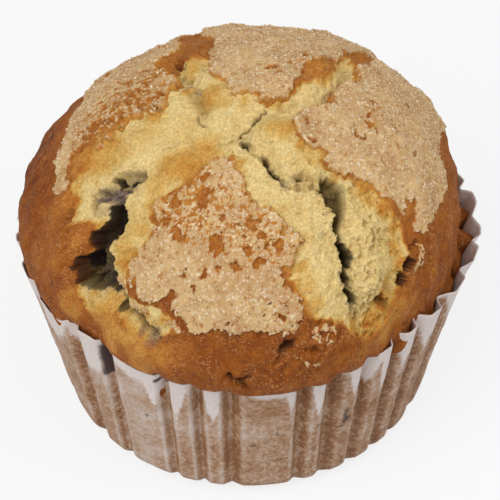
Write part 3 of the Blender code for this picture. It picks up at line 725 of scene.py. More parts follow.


# Baked cake from pale crumb to dark crust by its toast attribute, under sugar where that attribute says so,
# with painted shade in its cracks, splits and hollows, and painted glints among the sugar dust on its crust.
def bakedCakeMaterial():
    colours = bakedColours
    material, tree, shader = newMaterial("bakedCake", 0.78, 0.14)
    toasted = readAttribute(tree, "toast")
    blotch = useGroup(tree, mottle, Size=1.1, Low=0.32, High=0.68)
    fine = useGroup(tree, mottle, Size=0.38, Low=0.32, High=0.68)
    browned = maths(tree, "MULTIPLY_ADD", blotch.outputs[0], 0.1)
    tree.links.new(toasted, browned.node.inputs[2])
    level = maths(tree, "SUBTRACT", browned, 0.05)
    cake = colourRamp(tree, level, colours["toast"])
    # Painted shade on the crumb down in the cracks.
    cake = mixColour(tree, readAttribute(tree, "deep"), cake, colours["deep"])
    shade = maths(tree, "MULTIPLY_ADD", fine.outputs[0], 0.36)
    shade.node.inputs[2].default_value = 0.82
    cake = mixColour(tree, 1.0, cake, shade, "MULTIPLY")
    stained = mixColour(tree, fine.outputs[0], colours["stain"], colours["stainPale"])
    cake = mixColour(tree, readAttribute(tree, "stain"), cake, stained)
    # Pale flecks on the dusted crust: partly sugar dust, partly painted glints.
    dustAndGlint = readAttribute(tree, "dustAndGlint")
    dustGlintFlecks = useGroup(tree, flecks, Size=0.32, Share=0.42, Radius=0.6)
    specks = maths(tree, "MULTIPLY", maths(tree, "MULTIPLY", dustGlintFlecks.outputs[0], dustAndGlint), 0.7)
    cake = mixColour(tree, specks, cake, colours["speck"])
    burnt = useGroup(tree, flecks, Size=0.55, Share=0.3, Radius=0.6)
    specks = maths(tree, "MULTIPLY", maths(tree, "MULTIPLY", burnt.outputs[0], dustAndGlint), 0.55)
    cake = mixColour(tree, specks, cake, colours["speckDark"])
    grain = useGroup(tree, flecks, Size=0.5, Share=0.5, Radius=0.75)
    lumps = useGroup(tree, mottle, Size=1.4, Low=0.34, High=0.66)
    melted = useGroup(tree, mottle, Size=0.9, Low=0.51, High=0.67)
    tan = useGroup(tree, mottle, Size=6.0, Low=0.4, High=0.6)
    sugar = mixColour(tree, tan.outputs[0], colours["sugar"], colours["sugarTan"])
    sugar = mixColour(tree, melted.outputs[0], sugar, colours["sugarMelted"])
    bright = maths(tree, "MULTIPLY", grain.outputs[0], lumps.outputs[0])
    sugar = mixColour(tree, bright, sugar, colours["sugarPale"])
    thin = maths(tree, "MULTIPLY", fine.outputs[0], 0.5)
    coarse = maths(tree, "SUBTRACT", readAttribute(tree, "sugar"), thin)
    cover = addNode(tree, "ShaderNodeMapRange", None, Value=coarse, From_Min=0.06, From_Max=0.36)
    cake = mixColour(tree, cover.outputs[0], cake, sugar)
    # Near-black painted shade in the hollows and splits.
    cake = mixColour(tree, readAttribute(tree, "hollow"), cake, colours["hollow"])
    tree.links.new(cake, shader.inputs["Base Color"])
    gloss = addNode(tree, "ShaderNodeMapRange", None, Value=blotch.outputs[0], To_Min=0.86, To_Max=0.66)
    tree.links.new(gloss.outputs[0], shader.inputs["Roughness"])
    height = maths(tree, "MULTIPLY_ADD", fine.outputs[0], 0.7)
    tree.links.new(grain.outputs[0], height.node.inputs[2])
    firm = addNode(tree, "ShaderNodeMapRange", None, Value=toasted, From_Min=0.1, From_Max=0.5, To_Min=0.25)
    addBump(tree, shader, maths(tree, "MULTIPLY", height, firm.outputs[0]), 0.6, 0.14)
    shader.inputs["Subsurface Weight"].default_value = 0.1
    shader.inputs["Subsurface Scale"].default_value = 0.001
    shader.inputs["Subsurface Radius"].default_value = (1.0, 0.6, 0.3)
    return material


cake = {
    "gridSize": 300,
    "closeUp": 0.2,                # how much finer the grid is in the middle
    "sideHeights": (26.0, 18.0, 10.0, 4.0),
    "baseLift": 0.5,
    "baseInset": 3.4,              # how much narrower its flat base is than its side
    "sunk": 0.9,                   # how far it drops away under the torn crumb's own mesh
    "crumbCell": 0.16,             # mesh of the torn crumb
    "crumbSeam": -6.0,             # where its left and right halves meet
    "crumbBacking": 2.0,
}


# A square grid laid onto a disc: square rings become circles, and the rows are closer in the middle.
def discGrid(size, finer):
    steps = np.linspace(-1, 1, size - 1)
    rows = []
    for centre in (0.0, -0.28):
        spacing = 1 - finer * np.exp(-(((steps - centre) / 0.55) ** 2))
        place = np.concatenate([[0], np.cumsum(spacing)])
        rows.append(2 * place / place[-1] - 1)
    across, up = np.meshgrid(rows[0], rows[1])
    wide = np.abs(across) >= np.abs(up)
    radius = np.where(wide, across, up)
    other = np.where(wide, up, across)
    turn = np.pi / 4 * other / np.where(radius == 0, 1, radius)
    discX = radius * np.where(wide, np.cos(turn), np.sin(turn))
    discY = radius * np.where(wide, np.sin(turn), np.cos(turn))
    return discX, discY


# The cake: relief over the whole dome and lip, then rings down its fluted side, closed by a flat base.
def makeCake(material):
    size = cake["gridSize"]
    discX, discY = discGrid(size, cake["closeUp"])
    u, v = discX * rootArc, discY * rootArc
    arc = np.hypot(u, v)
    relief = cakeRelief(u, v) * (1 - eased(arc, widestArc + 1.5, rootArc))
    under = eased(tornDepth(u, v) + tears["skin"], 0.4, 1.2) * (1 - eased(arc, widestArc - 2, widestArc + 1))
    points = cakePoint(u, v, relief - cake["sunk"] * under)
    index = np.arange(size * size).reshape(size, size)
    edge = np.concatenate([index[0, :-1], index[:-1, -1], index[-1, :0:-1], index[:0:-1, 0]])
    rim = points.reshape(-1, 3)[edge]
    azimuth = np.degrees(np.arctan2(rim[:, 1], rim[:, 0])) % 360
    wall, ringStart = [points.reshape(-1, 3)], [edge]
    total = size * size
    for height in cake["sideHeights"] + (cake["baseLift"],):
        inset = paperCase["thickness"] + dome["paperGap"] + (cake["baseInset"] if height < 4 else 0)
        reach = paperRadius(azimuth, max(height, paperCase["cornerRadius"])) - inset
        angle = np.radians(azimuth)
        wall.append(np.stack([reach * np.cos(angle), reach * np.sin(angle), 0 * reach + height], 1))
        ringStart.append(total + np.arange(len(edge)))
        total += len(edge)
    wall.append(np.array([[0, 0, cake["baseLift"]]]))
    faces = gridFaces(size, size).tolist()
    for upper, lower in zip(ringStart[:-1], ringStart[1:]):
        faces += np.stack([np.roll(upper, -1), upper, lower, np.roll(lower, -1)], 1).tolist()
    last = ringStart[-1]
    faces += np.stack([np.roll(last, -1), last, np.full(len(last), total)], 1).tolist()
    extra = total + 1 - size * size

    def whole(values, fill=0):
        return np.concatenate([np.ravel(values), np.full(extra, fill)])

    finish = cakeFinish(u, v, relief)
    toasted = whole(finish.pop("toast"), 0.8)
    finish = {key: whole(values) for key, values in finish.items()}
    return meshObject("cake", np.concatenate(wall), faces, material, toast=toasted, **finish)


# The values that colour baked cake at (u, v): how brown, how deep in painted crack shade, stained, dusted
# with sugar and painted glints, and how dark the painted shade in its splits and hollows is.
def cakeFinish(u, v, relief):
    crust = crustShare(u, v)
    # Where the crust is speckled: sugar dust, with painted glints among it.
    dustAndGlint = crust * eased(layeredNoise(u, v, 5.0, 140), -0.7, 0.5)
    # Painted shade on the crumb in the cracks: by how far it lies below the crust, fading out towards the
    # lip.
    dry = 0.7 * eased(np.hypot(u, v), widestArc - 4, widestArc)
    deep = eased(crustLevel(u, v) - relief, 1.7, 3.6) * (1 - dry)
    return {"toast": toastLevel(u, v, crust), "deep": deep, "stain": stainLevel(u, v), "dustAndGlint": dustAndGlint,
            "hollow": tearDrop(u, v)[1]}


# One half of the torn crumb: a fine-meshed shell that lies just over the cake, with its rim sunk into it.
def makeCrumb(name, isLeft, material):
    outline = np.array(tears["outline"])
    reach, cell, seam = tears["skin"] + 1.0, cake["crumbCell"], cake["crumbSeam"]
    low, high = outline.min(0) - reach, outline.max(0) + reach
    low[0], high[0] = (low[0], seam + 0.8) if isLeft else (seam - 0.8, high[0])
    u, v = np.meshgrid(np.arange(low[0], high[0], cell), np.arange(low[1], high[1], cell))
    depth = tornDepth(u, v) + tears["skin"]
    beyond = u - seam if isLeft else seam - u
    depth = np.minimum(depth, widestArc + 1.5 - np.hypot(u, v))
    relief = cakeRelief(u, v)
    lift = relief - 0.12 * (1 - eased(depth, 0, 0.5)) - 0.06 * eased(beyond, 0, 0.6)
    near = (depth > 0) & (beyond < 0.6)
    kept = near[:-1, :-1] & near[1:, :-1] & near[:-1, 1:] & near[1:, 1:]
    points = np.concatenate([cakePoint(u, v, lift).reshape(-1, 3),
                             cakePoint(u, v, relief - cake["crumbBacking"]).reshape(-1, 3)])
    used, faces = np.unique(cellShell(kept), return_inverse=True)
    values = {key: np.tile(np.ravel(value), 2)[used] for key, value in cakeFinish(u, v, relief).items()}
    return meshObject(name, points[used], faces.reshape(-1, 4).tolist(), material, **values)


plates = {
    "crustFront": {
        "outlines": (
            ((-9.6, -14.8), (-7.4, -13.4), (-5.4, -14.2), (-3.2, -16.6), (-2.8, -18.8), (-1, -20.8), (1, -21),
             (3, -22.6), (5.6, -24.4), (6, -25.4), (5, -26.6), (5, -28.4), (3, -29.4), (4, -31), (6.6, -32.4),
             (7.6, -35), (7, -38), (5, -39), (1, -38.6), (-2, -38.8), (-5, -38.4), (-8, -38.8), (-9.4, -39.2),
             (-10.6, -38.4), (-11.6, -36.8), (-13.9, -35.2), (-12.6, -33.6), (-14.6, -33.2), (-15.6, -34),
             (-17.4, -34.4), (-19.6, -32.4), (-20, -29.6), (-20.4, -27.6), (-19.6, -26), (-17.2, -24.6),
             (-17.6, -22.8), (-16, -22.6), (-17.6, -20.6), (-17, -19), (-12.4, -18), (-10.4, -16.6)),
        ),
        "wear": ((-20.4, -29, 2.0, 0.5), (3.4, -36.6, 3.8, 0.4), (-4, -38.6, 3, 0.3),
                 (-15.4, -21.6, 2.2, 0.55), (-2.2, -23.4, 2.4, 0.6), (1.4, -26.4, 2.4, 0.5),
                 (-12, -21, 3, 0.2), (-14, -19.4, 1.4, 0.4), (5.6, -36.6, 1.6, 0.3), (-9.4, -23.6, 1.6, 0.3)),
        "pits": ((-9, -16.6, 0.7), (-9.2, -20.4, 1.1), (-8.8, -19.2, 1.1), (-14, -19.8, 0.7),
                 (-13.2, -24.3, 0.75), (-12.4, -24.9, 0.5), (-11.6, -25.7, 0.5), (-5.8, -22.8, 0.5),
                 (-6.4, -26.4, 1.5), (-2.2, -27, 0.7), (0.2, -28, 0.55), (-0.4, -29, 0.6), (-3.4, -29.3, 0.6),
                 (-5.9, -29.4, 0.4), (-8.3, -30.5, 0.6), (-9.9, -32.5, 0.35), (-11.5, -30.9, 0.4),
                 (-13.2, -33, 0.5), (-13.8, -34.2, 0.8), (2.6, -26, 0.8), (2.8, -24, 0.5), (-1.5, -23.4, 1.0),
                 (-0.2, -25, 0.7), (-15.2, -22.6, 0.7), (-12.6, -18.2, 0.5)),
        "mottled": ((-9, -21, 8, 0.75), (1, -25, 6, 0.6), (-13, -20.5, 4, 0.7), (5, -35, 4, 0.5),
                    (-3, -37.5, 4, 0.3)),
        "cell": 0.16,
    },
    "crustRight": {
        "outlines": (
            ((3.6, -8.4), (3.8, -6.4), (6, -5), (8.5, -3.4), (10.4, -3.4), (10.3, 0), (10.9, 1.2), (12.5, 3),
             (14.3, 2.8), (15, 5), (14.6, 8), (16, 9.6), (17.4, 13), (20, 17), (25, 21), (31, 23), (35.4, 18),
             (37, 12), (35, 6), (32.8, 3), (32.6, -3), (33, -6), (33.4, -10), (32.6, -13), (31.4, -15.4),
             (30.2, -18), (29, -20.4), (27, -20.4), (26.4, -17.6), (25.4, -16.2), (24, -17), (24.4, -19),
             (23.6, -19.6), (22, -17.6), (20.4, -18), (18.4, -17.4), (17, -16.4), (15, -16), (12, -15.8),
             (9.6, -14.8), (8, -13.4), (9, -12.4), (6, -11.8), (4.4, -10.2)),
        ),
        "wear": ((18, -1, 2, 0.25), (31, 8, 5, 0.35), (30.4, -18, 2, 0.3), (17, 12, 2, 0.5), (33, -2, 2, 0.3),
                 (23, 18, 4, 0.3)),
        "pits": ((16, -6, 0.6), (15, -8.6, 0.5), (17.4, -6.6, 0.5), (16.4, -1.2, 0.8), (15.6, -4.4, 0.4),
                 (5.8, -7.6, 0.5), (13.4, -8.8, 0.55), (6.6, -10.6, 0.4), (18.6, 4.4, 0.4), (20.6, -5, 0.35),
                 (24.6, -8.4, 0.35), (25.8, -17, 0.5), (16.8, 10.4, 1.0), (17.6, 12, 0.8), (24.4, 3, 0.5)),
        "mottled": ((17, -2, 4, 0.5), (16, -6, 3, 0.4), (31, -2, 4, 0.6), (30, -15, 4, 0.4),
                    (27, 12, 8, 0.35), (18, 9, 4, 0.5)),
        "cell": 0.19,
    },
    "crustTop": {
        "outlines": (
            ((-9.4, 10.4), (-9, 5.2), (-8.4, 3), (-7, 1.6), (-6.2, 0.2), (-5.6, -1.4), (-4.8, -3.2),
             (-3.4, -2), (-2, -2.6), (-0.8, -3.8), (0.6, -2.8), (2.5, -2.2), (3.7, -1.2), (3.6, 0.6),
             (4.8, 1.4), (5, 4.4), (7, 6.8), (9.4, 7.2), (11, 9.4), (12.4, 10.6), (13, 13), (17, 18),
             (23, 24), (20, 31), (10, 34), (-2, 35), (-9.4, 31), (-10.4, 24), (-7.4, 18), (-8.6, 14)),
        ),
        "wear": ((12, 20, 5, 0.3), (-4, 26, 5, 0.3), (10, 30, 5, 0.3)),
        "pits": ((-0.1, 3.2, 0.8), (0.9, 2.9, 0.9), (1.6, 1.9, 0.3), (5.8, 7.6, 0.4), (3.4, 4.8, 0.4),
                 (-4, 12, 0.4), (8.6, 6.4, 0.6)),
        "mottled": ((5, 5, 3.4, 0.6), (-4, 1, 4, 0.25), (6, 14, 5, 0.25), (0, 28, 9, 0.4)),
        "cell": 0.19,
    },
    "crustLeft": {
        "outlines": (
            ((-15.6, 1.2), (-13.8, 4.4), (-15, 6.5), (-17.2, 9), (-17.8, 12), (-16.6, 14.6), (-14, 17),
             (-14, 21), (-19, 26), (-27, 24), (-30, 17), (-30.6, 11), (-31.6, 4), (-33, 0), (-34, -5),
             (-34.6, -9.2), (-33, -11), (-31, -10.8), (-31.6, -7), (-30, -3.6), (-27.4, -3.6), (-26, -6),
             (-23.4, -5.6), (-21.6, -3.8), (-20, -2.4), (-15.4, -2.6)),
        ),
        "wear": ((-22, -1, 6, 0.5), (-27, -3, 4, 0.6), (-18, 3, 4, 0.45), (-18, 9, 3, 0.5), (-24, -5, 3, 0.5),
                 (-16.5, -1, 2, 0.6), (-22, 14, 5, 0.25), (-28, -6, 2, 0.6)),
        "pits": ((-20.6, 1.8, 0.9), (-20.7, 3, 0.7), (-17.6, 0, 0.8), (-25.4, -1.6, 0.8), (-22, 7.6, 0.6),
                 (-27.4, 2.2, 0.5), (-25, 2.2, 0.5), (-17.4, 6, 0.8), (-19.6, 10.8, 0.8), (-24, -3.6, 0.9),
                 (-28, -2.4, 0.7), (-18.6, -1.8, 0.6), (-29, -0.6, 0.4), (-22, -2.8, 0.6)),
        "mottled": ((-21, 1, 7, 0.85), (-18, 8, 5, 0.7), (-26, -4, 4, 0.8), (-27, 8, 4, 0.2),
                    (-22, 18, 6, 0.5)),
        "cell": 0.17,
    },
    "crustBits": {
        "outlines": (
            ((-21.6, -27.2), (-20.4, -26.8), (-19.8, -29.2), (-20.4, -31.8), (-21.6, -31.2), (-21.9, -29)),
            ((-25, -29), (-23.6, -29.6), (-22, -31.4), (-22.4, -32.2), (-24, -31.2)),
            ((-22.6, -33.2), (-21, -33.4), (-19.4, -34.6), (-17.8, -35.8), (-18.6, -36.6), (-21, -35.4)),
            ((-15.4, -36.6), (-13.4, -36.6), (-11.6, -38), (-11.2, -39.2), (-13, -39)),
            ((28, -22.6), (29.4, -21.8), (30.8, -22.8), (30.8, -25), (29.4, -26.4), (28.4, -25),
             (28.8, -23.8)),
            ((9.6, -37.2), (11.8, -36.4), (14.2, -37), (15.2, -38.6), (13.4, -39.8), (11, -39.6),
             (9.8, -38.8)),
            ((7.4, -41), (9, -42), (11.4, -42.4), (13.2, -41.4), (13.6, -42.6), (10, -43.4), (7.6, -42.2)),
        ),
        "hugs": True,              # follows the cake down instead of bridging its dips
        "wear": ((-20, -35, 3, 0.3), (-21, -29, 3, 0.35), (12, -38, 2, 0.35), (29.6, -24, 2, 0.2)),
        "pits": ((11.8, -38, 0.6), (13.4, -38.2, 0.4), (29.6, -24.4, 0.3)),
        "mottled": ((12, -38, 4, 0.8), (11, -42, 4, 0.9), (-14, -38, 2, 0.6), (29.5, -24, 3, 0.6),
                    (-20, -35, 3, 0.3)),
        "cell": 0.16,
    },
    "crustBackLeft": {
        "outlines": (
            ((-16, 25), (-13.5, 31), (-5, 38), (-8, 43), (-19, 41), (-28, 34), (-32, 25), (-29, 24),
             (-24, 29)),
        ),
        "wear": ((-20, 34, 8, 0.5), (-9, 39, 5, 0.45)),
        "pits": ((-19, 33, 1.4), (-24, 31, 1.0), (-12, 38, 1.1)),
        "mottled": ((-20, 33, 12, 0.7),),
        "cell": 0.22,
    },
    "crustBackRight": {
        "outlines": (
            ((25, 27), (31, 27), (37, 23), (41, 24), (36, 33), (26, 40), (14, 42.5), (4, 42), (5, 38),
             (13, 37.5), (21, 34)),
        ),
        "wear": ((30, 31, 6, 0.5), (12, 40, 6, 0.45)),
        "pits": ((28, 32, 1.2), (18, 38.5, 1.0)),
        "mottled": ((24, 35, 14, 0.6),),
        "cell": 0.22,
    },
}

plateEdge = {"thick": 0.3, "sink": 0.5, "backing": 1.1, "edging": 0.45}


# How far (u, v) lies inside a plate's sugar, counting its worn holes and its pits as outside.
def plateDepth(u, v, plate):
    ragU, ragV = raggedPlace(u, v, 0.35, 0.55, 150)
    depth = np.full(np.shape(u), -9.0)
    for outline in plate["outlines"]:
        depth = np.maximum(depth, depthInside(ragU, ragV, outline))
    holes = 0.75 * layeredNoise(u, v, 1.3, 160, 4, 0.65)
    depth = np.minimum(depth, (1.05 - softSpots(u, v, plate["wear"]) - holes) * 1.2)
    for pitU, pitV, radius in plate["pits"]:
        depth = np.minimum(depth, np.hypot(ragU - pitU, (ragV - pitV) * 0.9) - 0.68 * radius)
    return depth


# A plate's surface: just over the crust level inside, or over the cake where it hugs, and below the
# cake outside, with a sandy top.
def plateRelief(u, v, depth, plate):
    under = cakeRelief(u, v)
    sand = 0.09 * layeredNoise(u, v, 1.1, 170, 2) + 0.06 * smoothNoise(u / 0.4, v / 0.4, 175)
    level = under if plate.get("hugs") else np.maximum(crustLevel(u, v) - 0.05, under + 0.15)
    top = level + plateEdge["thick"] * (0.7 + 0.3 * eased(depth, 0.2, 1.6)) + sand
    inside = eased(depth, -0.12, 0.26)
    return under - plateEdge["sink"] + (top - under + plateEdge["sink"]) * inside, under


# A closed shell of the kept cells of a grid: its top, its back and a wall along every open side.
def cellShell(kept):
    rows, columns = kept.shape
    index = np.arange((rows + 1) * (columns + 1)).reshape(rows + 1, columns + 1)
    count = index.size
    corners = (index[:-1, :-1], index[:-1, 1:], index[1:, 1:], index[1:, :-1])
    quads = np.stack([corner[kept] for corner in corners], 1)
    faces = [quads, quads[:, ::-1] + count]
    framed = np.pad(kept, 1)
    neighbours = (framed[:-2, 1:-1], framed[1:-1, 2:], framed[2:, 1:-1], framed[1:-1, :-2])
    for k, neighbour in enumerate(neighbours):
        open_ = kept & ~neighbour
        start, end = corners[k][open_], corners[(k + 1) % 4][open_]
        faces.append(np.stack([end, start, start + count, end + count], 1))
    return np.concatenate(faces)


# How thickly sugar covers a plate: full in the middle, thin at its edge and broken up on mottled spots.
def plateCover(u, v, depth, plate):
    broken = softSpots(u, v, plate["mottled"]) * (0.5 + 1.2 * layeredNoise(u, v, 0.9, 180, 3, 0.7))
    return eased(depth, -0.05, plateEdge["edging"]) * np.clip(1.05 - np.clip(broken, 0, 0.95), 0, 1)


def makePlate(name, plate, material):
    corners = np.concatenate([np.array(outline) for outline in plate["outlines"]])
    low, high = corners.min(0) - 1.2, corners.max(0) + 1.2
    u, v = np.meshgrid(np.arange(low[0], high[0], plate["cell"]), np.arange(low[1], high[1], plate["cell"]))
    depth = plateDepth(u, v, plate)
    lift, under = plateRelief(u, v, depth, plate)
    near = depth > -0.4
    kept = near[:-1, :-1] & near[1:, :-1] & near[:-1, 1:] & near[1:, 1:]
    points = np.concatenate([cakePoint(u, v, lift).reshape(-1, 3),
                             cakePoint(u, v, under - plateEdge["backing"]).reshape(-1, 3)])
    used, faces = np.unique(cellShell(kept), return_inverse=True)
    toasted = toastLevel(u, v, crustShare(u, v))
    values = {"toast": np.maximum(toasted, 0.56 + 0.06 * layeredNoise(u, v, 1.4, 182)) - 0.04,
              "sugar": plateCover(u, v, depth, plate), "dustAndGlint": 0 * u + 0.4}
    values = {key: np.tile(np.ravel(value), 2)[used] for key, value in values.items()}
    return meshObject(name, points[used], faces.reshape(-1, 4).tolist(), material, **values)


sugarGrains = {
    "count": 12500,
    "size": (0.12, 0.3),
    "sunk": 0.36,
}


# A cube for every point, with uneven sides and corners, turned at random and partly sunk along the normal.
def cubesAt(points, normals, sizes, rng):
    count = len(points)
    corners = np.array([[x, y, z] for x in (-1, 1) for y in (-1, 1) for z in (-1, 1)], float)
    sides = sizes[:, None] * rng.uniform(0.6, 1.15, (count, 3))
    shapes = corners * sides[:, None, :] * rng.uniform(0.8, 1.1, (count, 8, 1)) * 0.5
    quaternion = rng.normal(size=(count, 4))
    w, x, y, z = (quaternion / np.linalg.norm(quaternion, axis=1, keepdims=True)).T
    turn = np.stack([1 - 2 * (y * y + z * z), 2 * (x * y - z * w), 2 * (x * z + y * w),
                     2 * (x * y + z * w), 1 - 2 * (x * x + z * z), 2 * (y * z - x * w),
                     2 * (x * z - y * w), 2 * (y * z + x * w), 1 - 2 * (x * x + y * y)], 1).reshape(-1, 3, 3)
    placed = np.einsum("nij,nkj->nki", turn, shapes) + points[:, None, :]
    return placed + (normals * (0.5 - sugarGrains["sunk"]) * sizes[:, None])[:, None, :]


cubeFaces = np.array([(0, 1, 3, 2), (4, 6, 7, 5), (0, 4, 5, 1), (2, 3, 7, 6), (0, 2, 6, 4), (1, 5, 7, 3)])


# The normal of a relief over the map, from the slope between close neighbours.
def reliefNormal(u, v, relief, step=0.12):
    here = cakePoint(u, v, relief(u, v))
    alongU = cakePoint(u + step, v, relief(u + step, v)) - here
    alongV = cakePoint(u, v + step, relief(u, v + step)) - here
    normal = np.cross(alongU, alongV)
    return here, normal / np.linalg.norm(normal, axis=1, keepdims=True)


# Grains strewn over every plate where its sugar lies thick, in loose clumps.
def makeSugarGrains(material):
    spots = []
    boxes = {}
    for name, plate in plates.items():
        corners = np.concatenate([np.array(outline) for outline in plate["outlines"]])
        boxes[name] = corners.min(0), corners.max(0)
    areas = np.array([np.prod(high - low) for low, high in boxes.values()])
    for name, share in zip(plates, areas / areas.sum()):
        tries = randomNumbers.uniform(*boxes[name], (int(3.4 * share * sugarGrains["count"]), 2))
        depth = plateDepth(tries[:, 0], tries[:, 1], plates[name])
        cover = plateCover(tries[:, 0], tries[:, 1], depth, plates[name])
        clump = layeredNoise(tries[:, 0], tries[:, 1], 2.2, 190) + 0.4 * randomNumbers.normal(size=len(tries))
        tries = tries[(depth > 0.2) & (clump > -0.2) & (cover > 0.45)]

        def topOf(u, v, plate=plates[name]):
            return plateRelief(u, v, plateDepth(u, v, plate), plate)[0]

        spots.append(reliefNormal(tries[:, 0], tries[:, 1], topOf))
    points = np.concatenate([spot[0] for spot in spots])[:sugarGrains["count"]]
    normals = np.concatenate([spot[1] for spot in spots])[:sugarGrains["count"]]
    smallest, largest = sugarGrains["size"]
    sizes = smallest + (largest - smallest) * randomNumbers.random(len(points)) ** 2.4
    shapes = cubesAt(points, normals, sizes, randomNumbers)
    faces = (cubeFaces[None] + 8 * np.arange(len(points))[:, None, None]).reshape(-1, 4)
    tone = np.repeat(randomNumbers.random(len(points)), 8)
    return meshObject("sugarGrains", shapes, faces.tolist(), material, smooth=False, tone=tone)


# Sugar crystals: half clear, pale gold, each of its own tone, and a few of them clear white.
def sugarGrainMaterial():
    material, tree, shader = newMaterial("sugarCrystal", 0.4, 0.4)
    tone = readAttribute(tree, "tone")
    cloud = useGroup(tree, mottle, Size=0.3, Low=0.35, High=0.65)
    colour = colourRamp(tree, tone, (
        (0.0, (0.50, 0.30, 0.135)), (0.6, (0.66, 0.47, 0.26)), (0.94, (0.78, 0.62, 0.42)),
        (1.0, (0.92, 0.86, 0.78)),
    ))
    colour = mixColour(tree, maths(tree, "MULTIPLY", cloud.outputs[0], 0.4), colour, (0.70, 0.51, 0.30))
    tree.links.new(colour, shader.inputs["Base Color"])
    return material


berries = {
    "berry_upper": {"seed": 5, "wrinkle": 0.5, "tip": (0.3, -0.35, 0.9)},
    "berry_lower": {"seed": 9, "wrinkle": 0.42, "tip": (-0.2, -0.5, 0.85)},
    "berry_side": {"seed": 14, "wrinkle": 0.3, "tip": (0.0, 0.2, 1.0)},
    "rows": 64,
    "columns": 110,
    "sag": 0.35,
}


# A baked berry: a ball whose skin has sunk into wrinkles, with a five-pointed crown round a hollow at
# its tip.
def makeBerry(name, material):
    facts = berries[name]
    lowest, highest = (np.array(corner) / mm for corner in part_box(name))
    centre, radius = (lowest + highest) / 2, (highest - lowest).min() / 2
    polar, around = np.meshgrid(np.linspace(0, np.pi, berries["rows"]),
                                np.linspace(0, 2 * np.pi, berries["columns"], endpoint=False), indexing="ij")
    direction = np.stack([np.sin(polar) * np.cos(around), np.sin(polar) * np.sin(around), np.cos(polar)], -1)
    x, y, z = np.moveaxis(direction * radius, -1, 0)
    seed = facts["seed"]
    folds = layeredNoise(x + 3 * z, y - 2 * z, 2.1, seed)
    folds = (folds + layeredNoise(y + 5, z + 2 * x, 1.9, seed + 3)) / 2
    crown = np.exp(-(((polar - 0.36 - 0.06 * np.cos(5 * around)) / 0.11) ** 2))
    hollow = np.exp(-((polar / 0.3) ** 2))
    reach = radius - facts["wrinkle"] * (0.55 - np.abs(folds)) * 1.2 - 0.35 + 0.4 * crown - 0.55 * hollow
    tip = Vector(facts["tip"]).normalized()
    turn = np.array(tip.to_track_quat("Z", "Y").to_matrix())
    points = (direction * reach[..., None]).reshape(-1, 3) @ turn.T
    points[:, 2] -= berries["sag"] * (points[:, 2] / radius) ** 2
    rows, columns = berries["rows"], berries["columns"]
    faces = gridFaces(rows, columns, closed=True)[:, ::-1]
    return meshObject(name + "_skin", points + centre, faces.tolist(), material,
                      bloom=np.clip(0.5 + folds, 0, 1), hollow=hollow)


# Berry skin: blue-black with a grey-purple bloom on its folds, burst and stuck with crumb in places.
def berryMaterial():
    material, tree, shader = newMaterial("berrySkin", 0.38, 0.5)
    patches = useGroup(tree, mottle, Size=1.4, Low=0.42, High=0.66)
    fine = useGroup(tree, mottle, Size=0.4, Low=0.35, High=0.7)
    skin = mixColour(tree, patches.outputs[0], (0.016, 0.007, 0.010), (0.075, 0.042, 0.048))
    bloom = maths(tree, "MULTIPLY", readAttribute(tree, "bloom"), fine.outputs[0])
    skin = mixColour(tree, maths(tree, "MULTIPLY", bloom, 0.55), skin, (0.240, 0.170, 0.160))
    skin = mixColour(tree, readAttribute(tree, "hollow"), skin, (0.030, 0.015, 0.012))
    tree.links.new(skin, shader.inputs["Base Color"])
    gloss = addNode(tree, "ShaderNodeMapRange", None, Value=fine.outputs[0], To_Min=0.3, To_Max=0.6)
    tree.links.new(gloss.outputs[0], shader.inputs["Roughness"])
    addBump(tree, shader, fine.outputs[0], 0.3, 0.1)
    return material


crumbBits = {
    "count": 1100,
    "size": (0.2, 0.6),
    "where": (                     # place, spread and share of the bits
        (10, -21, 5, 0.2), (17, -32, 5, 0.24), (-25, -22, 4, 0.12), (-30, -29, 3.5, 0.1), (-4, -12, 4, 0.08),
        (21, -24, 4, 0.12), (6, -3, 5, 0.05), (-16, -38, 3, 0.04), (12, -39, 4, 0.05),
    ),
}


# Loose and clinging crumbs: ten-faced uneven balls strewn round the cracks, half sunk in the crumb.
def makeCrumbBits(material):
    places = []
    for u, v, spread, share in crumbBits["where"]:
        count = int(crumbBits["count"] * share)
        places.append(randomNumbers.normal((u, v), spread * 0.6, (count, 2)))
    u, v = np.concatenate(places).T
    torn = crustShare(u, v) < 0.5
    u, v = u[torn], v[torn]
    here, normal = reliefNormal(u, v, cakeRelief)
    sizes = crumbBits["size"][0] + np.ptp(crumbBits["size"]) * randomNumbers.random(len(u)) ** 3
    turns = np.arange(5) * 2 * np.pi / 5
    upper = np.stack([0.89 * np.cos(turns), 0.89 * np.sin(turns), 0 * turns + 0.45], 1)
    lower = np.stack([0.89 * np.cos(turns + 0.63), 0.89 * np.sin(turns + 0.63), 0 * turns - 0.45], 1)
    corners = np.concatenate([[[0, 0, 1]], upper, lower, [[0, 0, -1]]])
    faces = []
    for k in range(5):
        after = (k + 1) % 5
        faces += [(0, 1 + k, 1 + after), (1 + k, 6 + k, 1 + after), (6 + k, 6 + after, 1 + after),
                  (11, 6 + after, 6 + k)]
    uneven = randomNumbers.uniform(0.65, 1.2, (len(u), 12, 1))
    stretch = randomNumbers.uniform(0.7, 1.2, (len(u), 1, 3))
    shapes = corners[None] * uneven * stretch * sizes[:, None, None] * 0.5
    shapes = shapes + here[:, None, :] + normal[:, None, :] * sizes[:, None, None] * 0.12
    faces = (np.array(faces)[None] + 12 * np.arange(len(u))[:, None, None]).reshape(-1, 3)
    values = {key: np.repeat(value, 12) for key, value in cakeFinish(u, v, cakeRelief(u, v)).items()}
    return meshObject("crumbBits", shapes, faces.tolist(), material, **values)


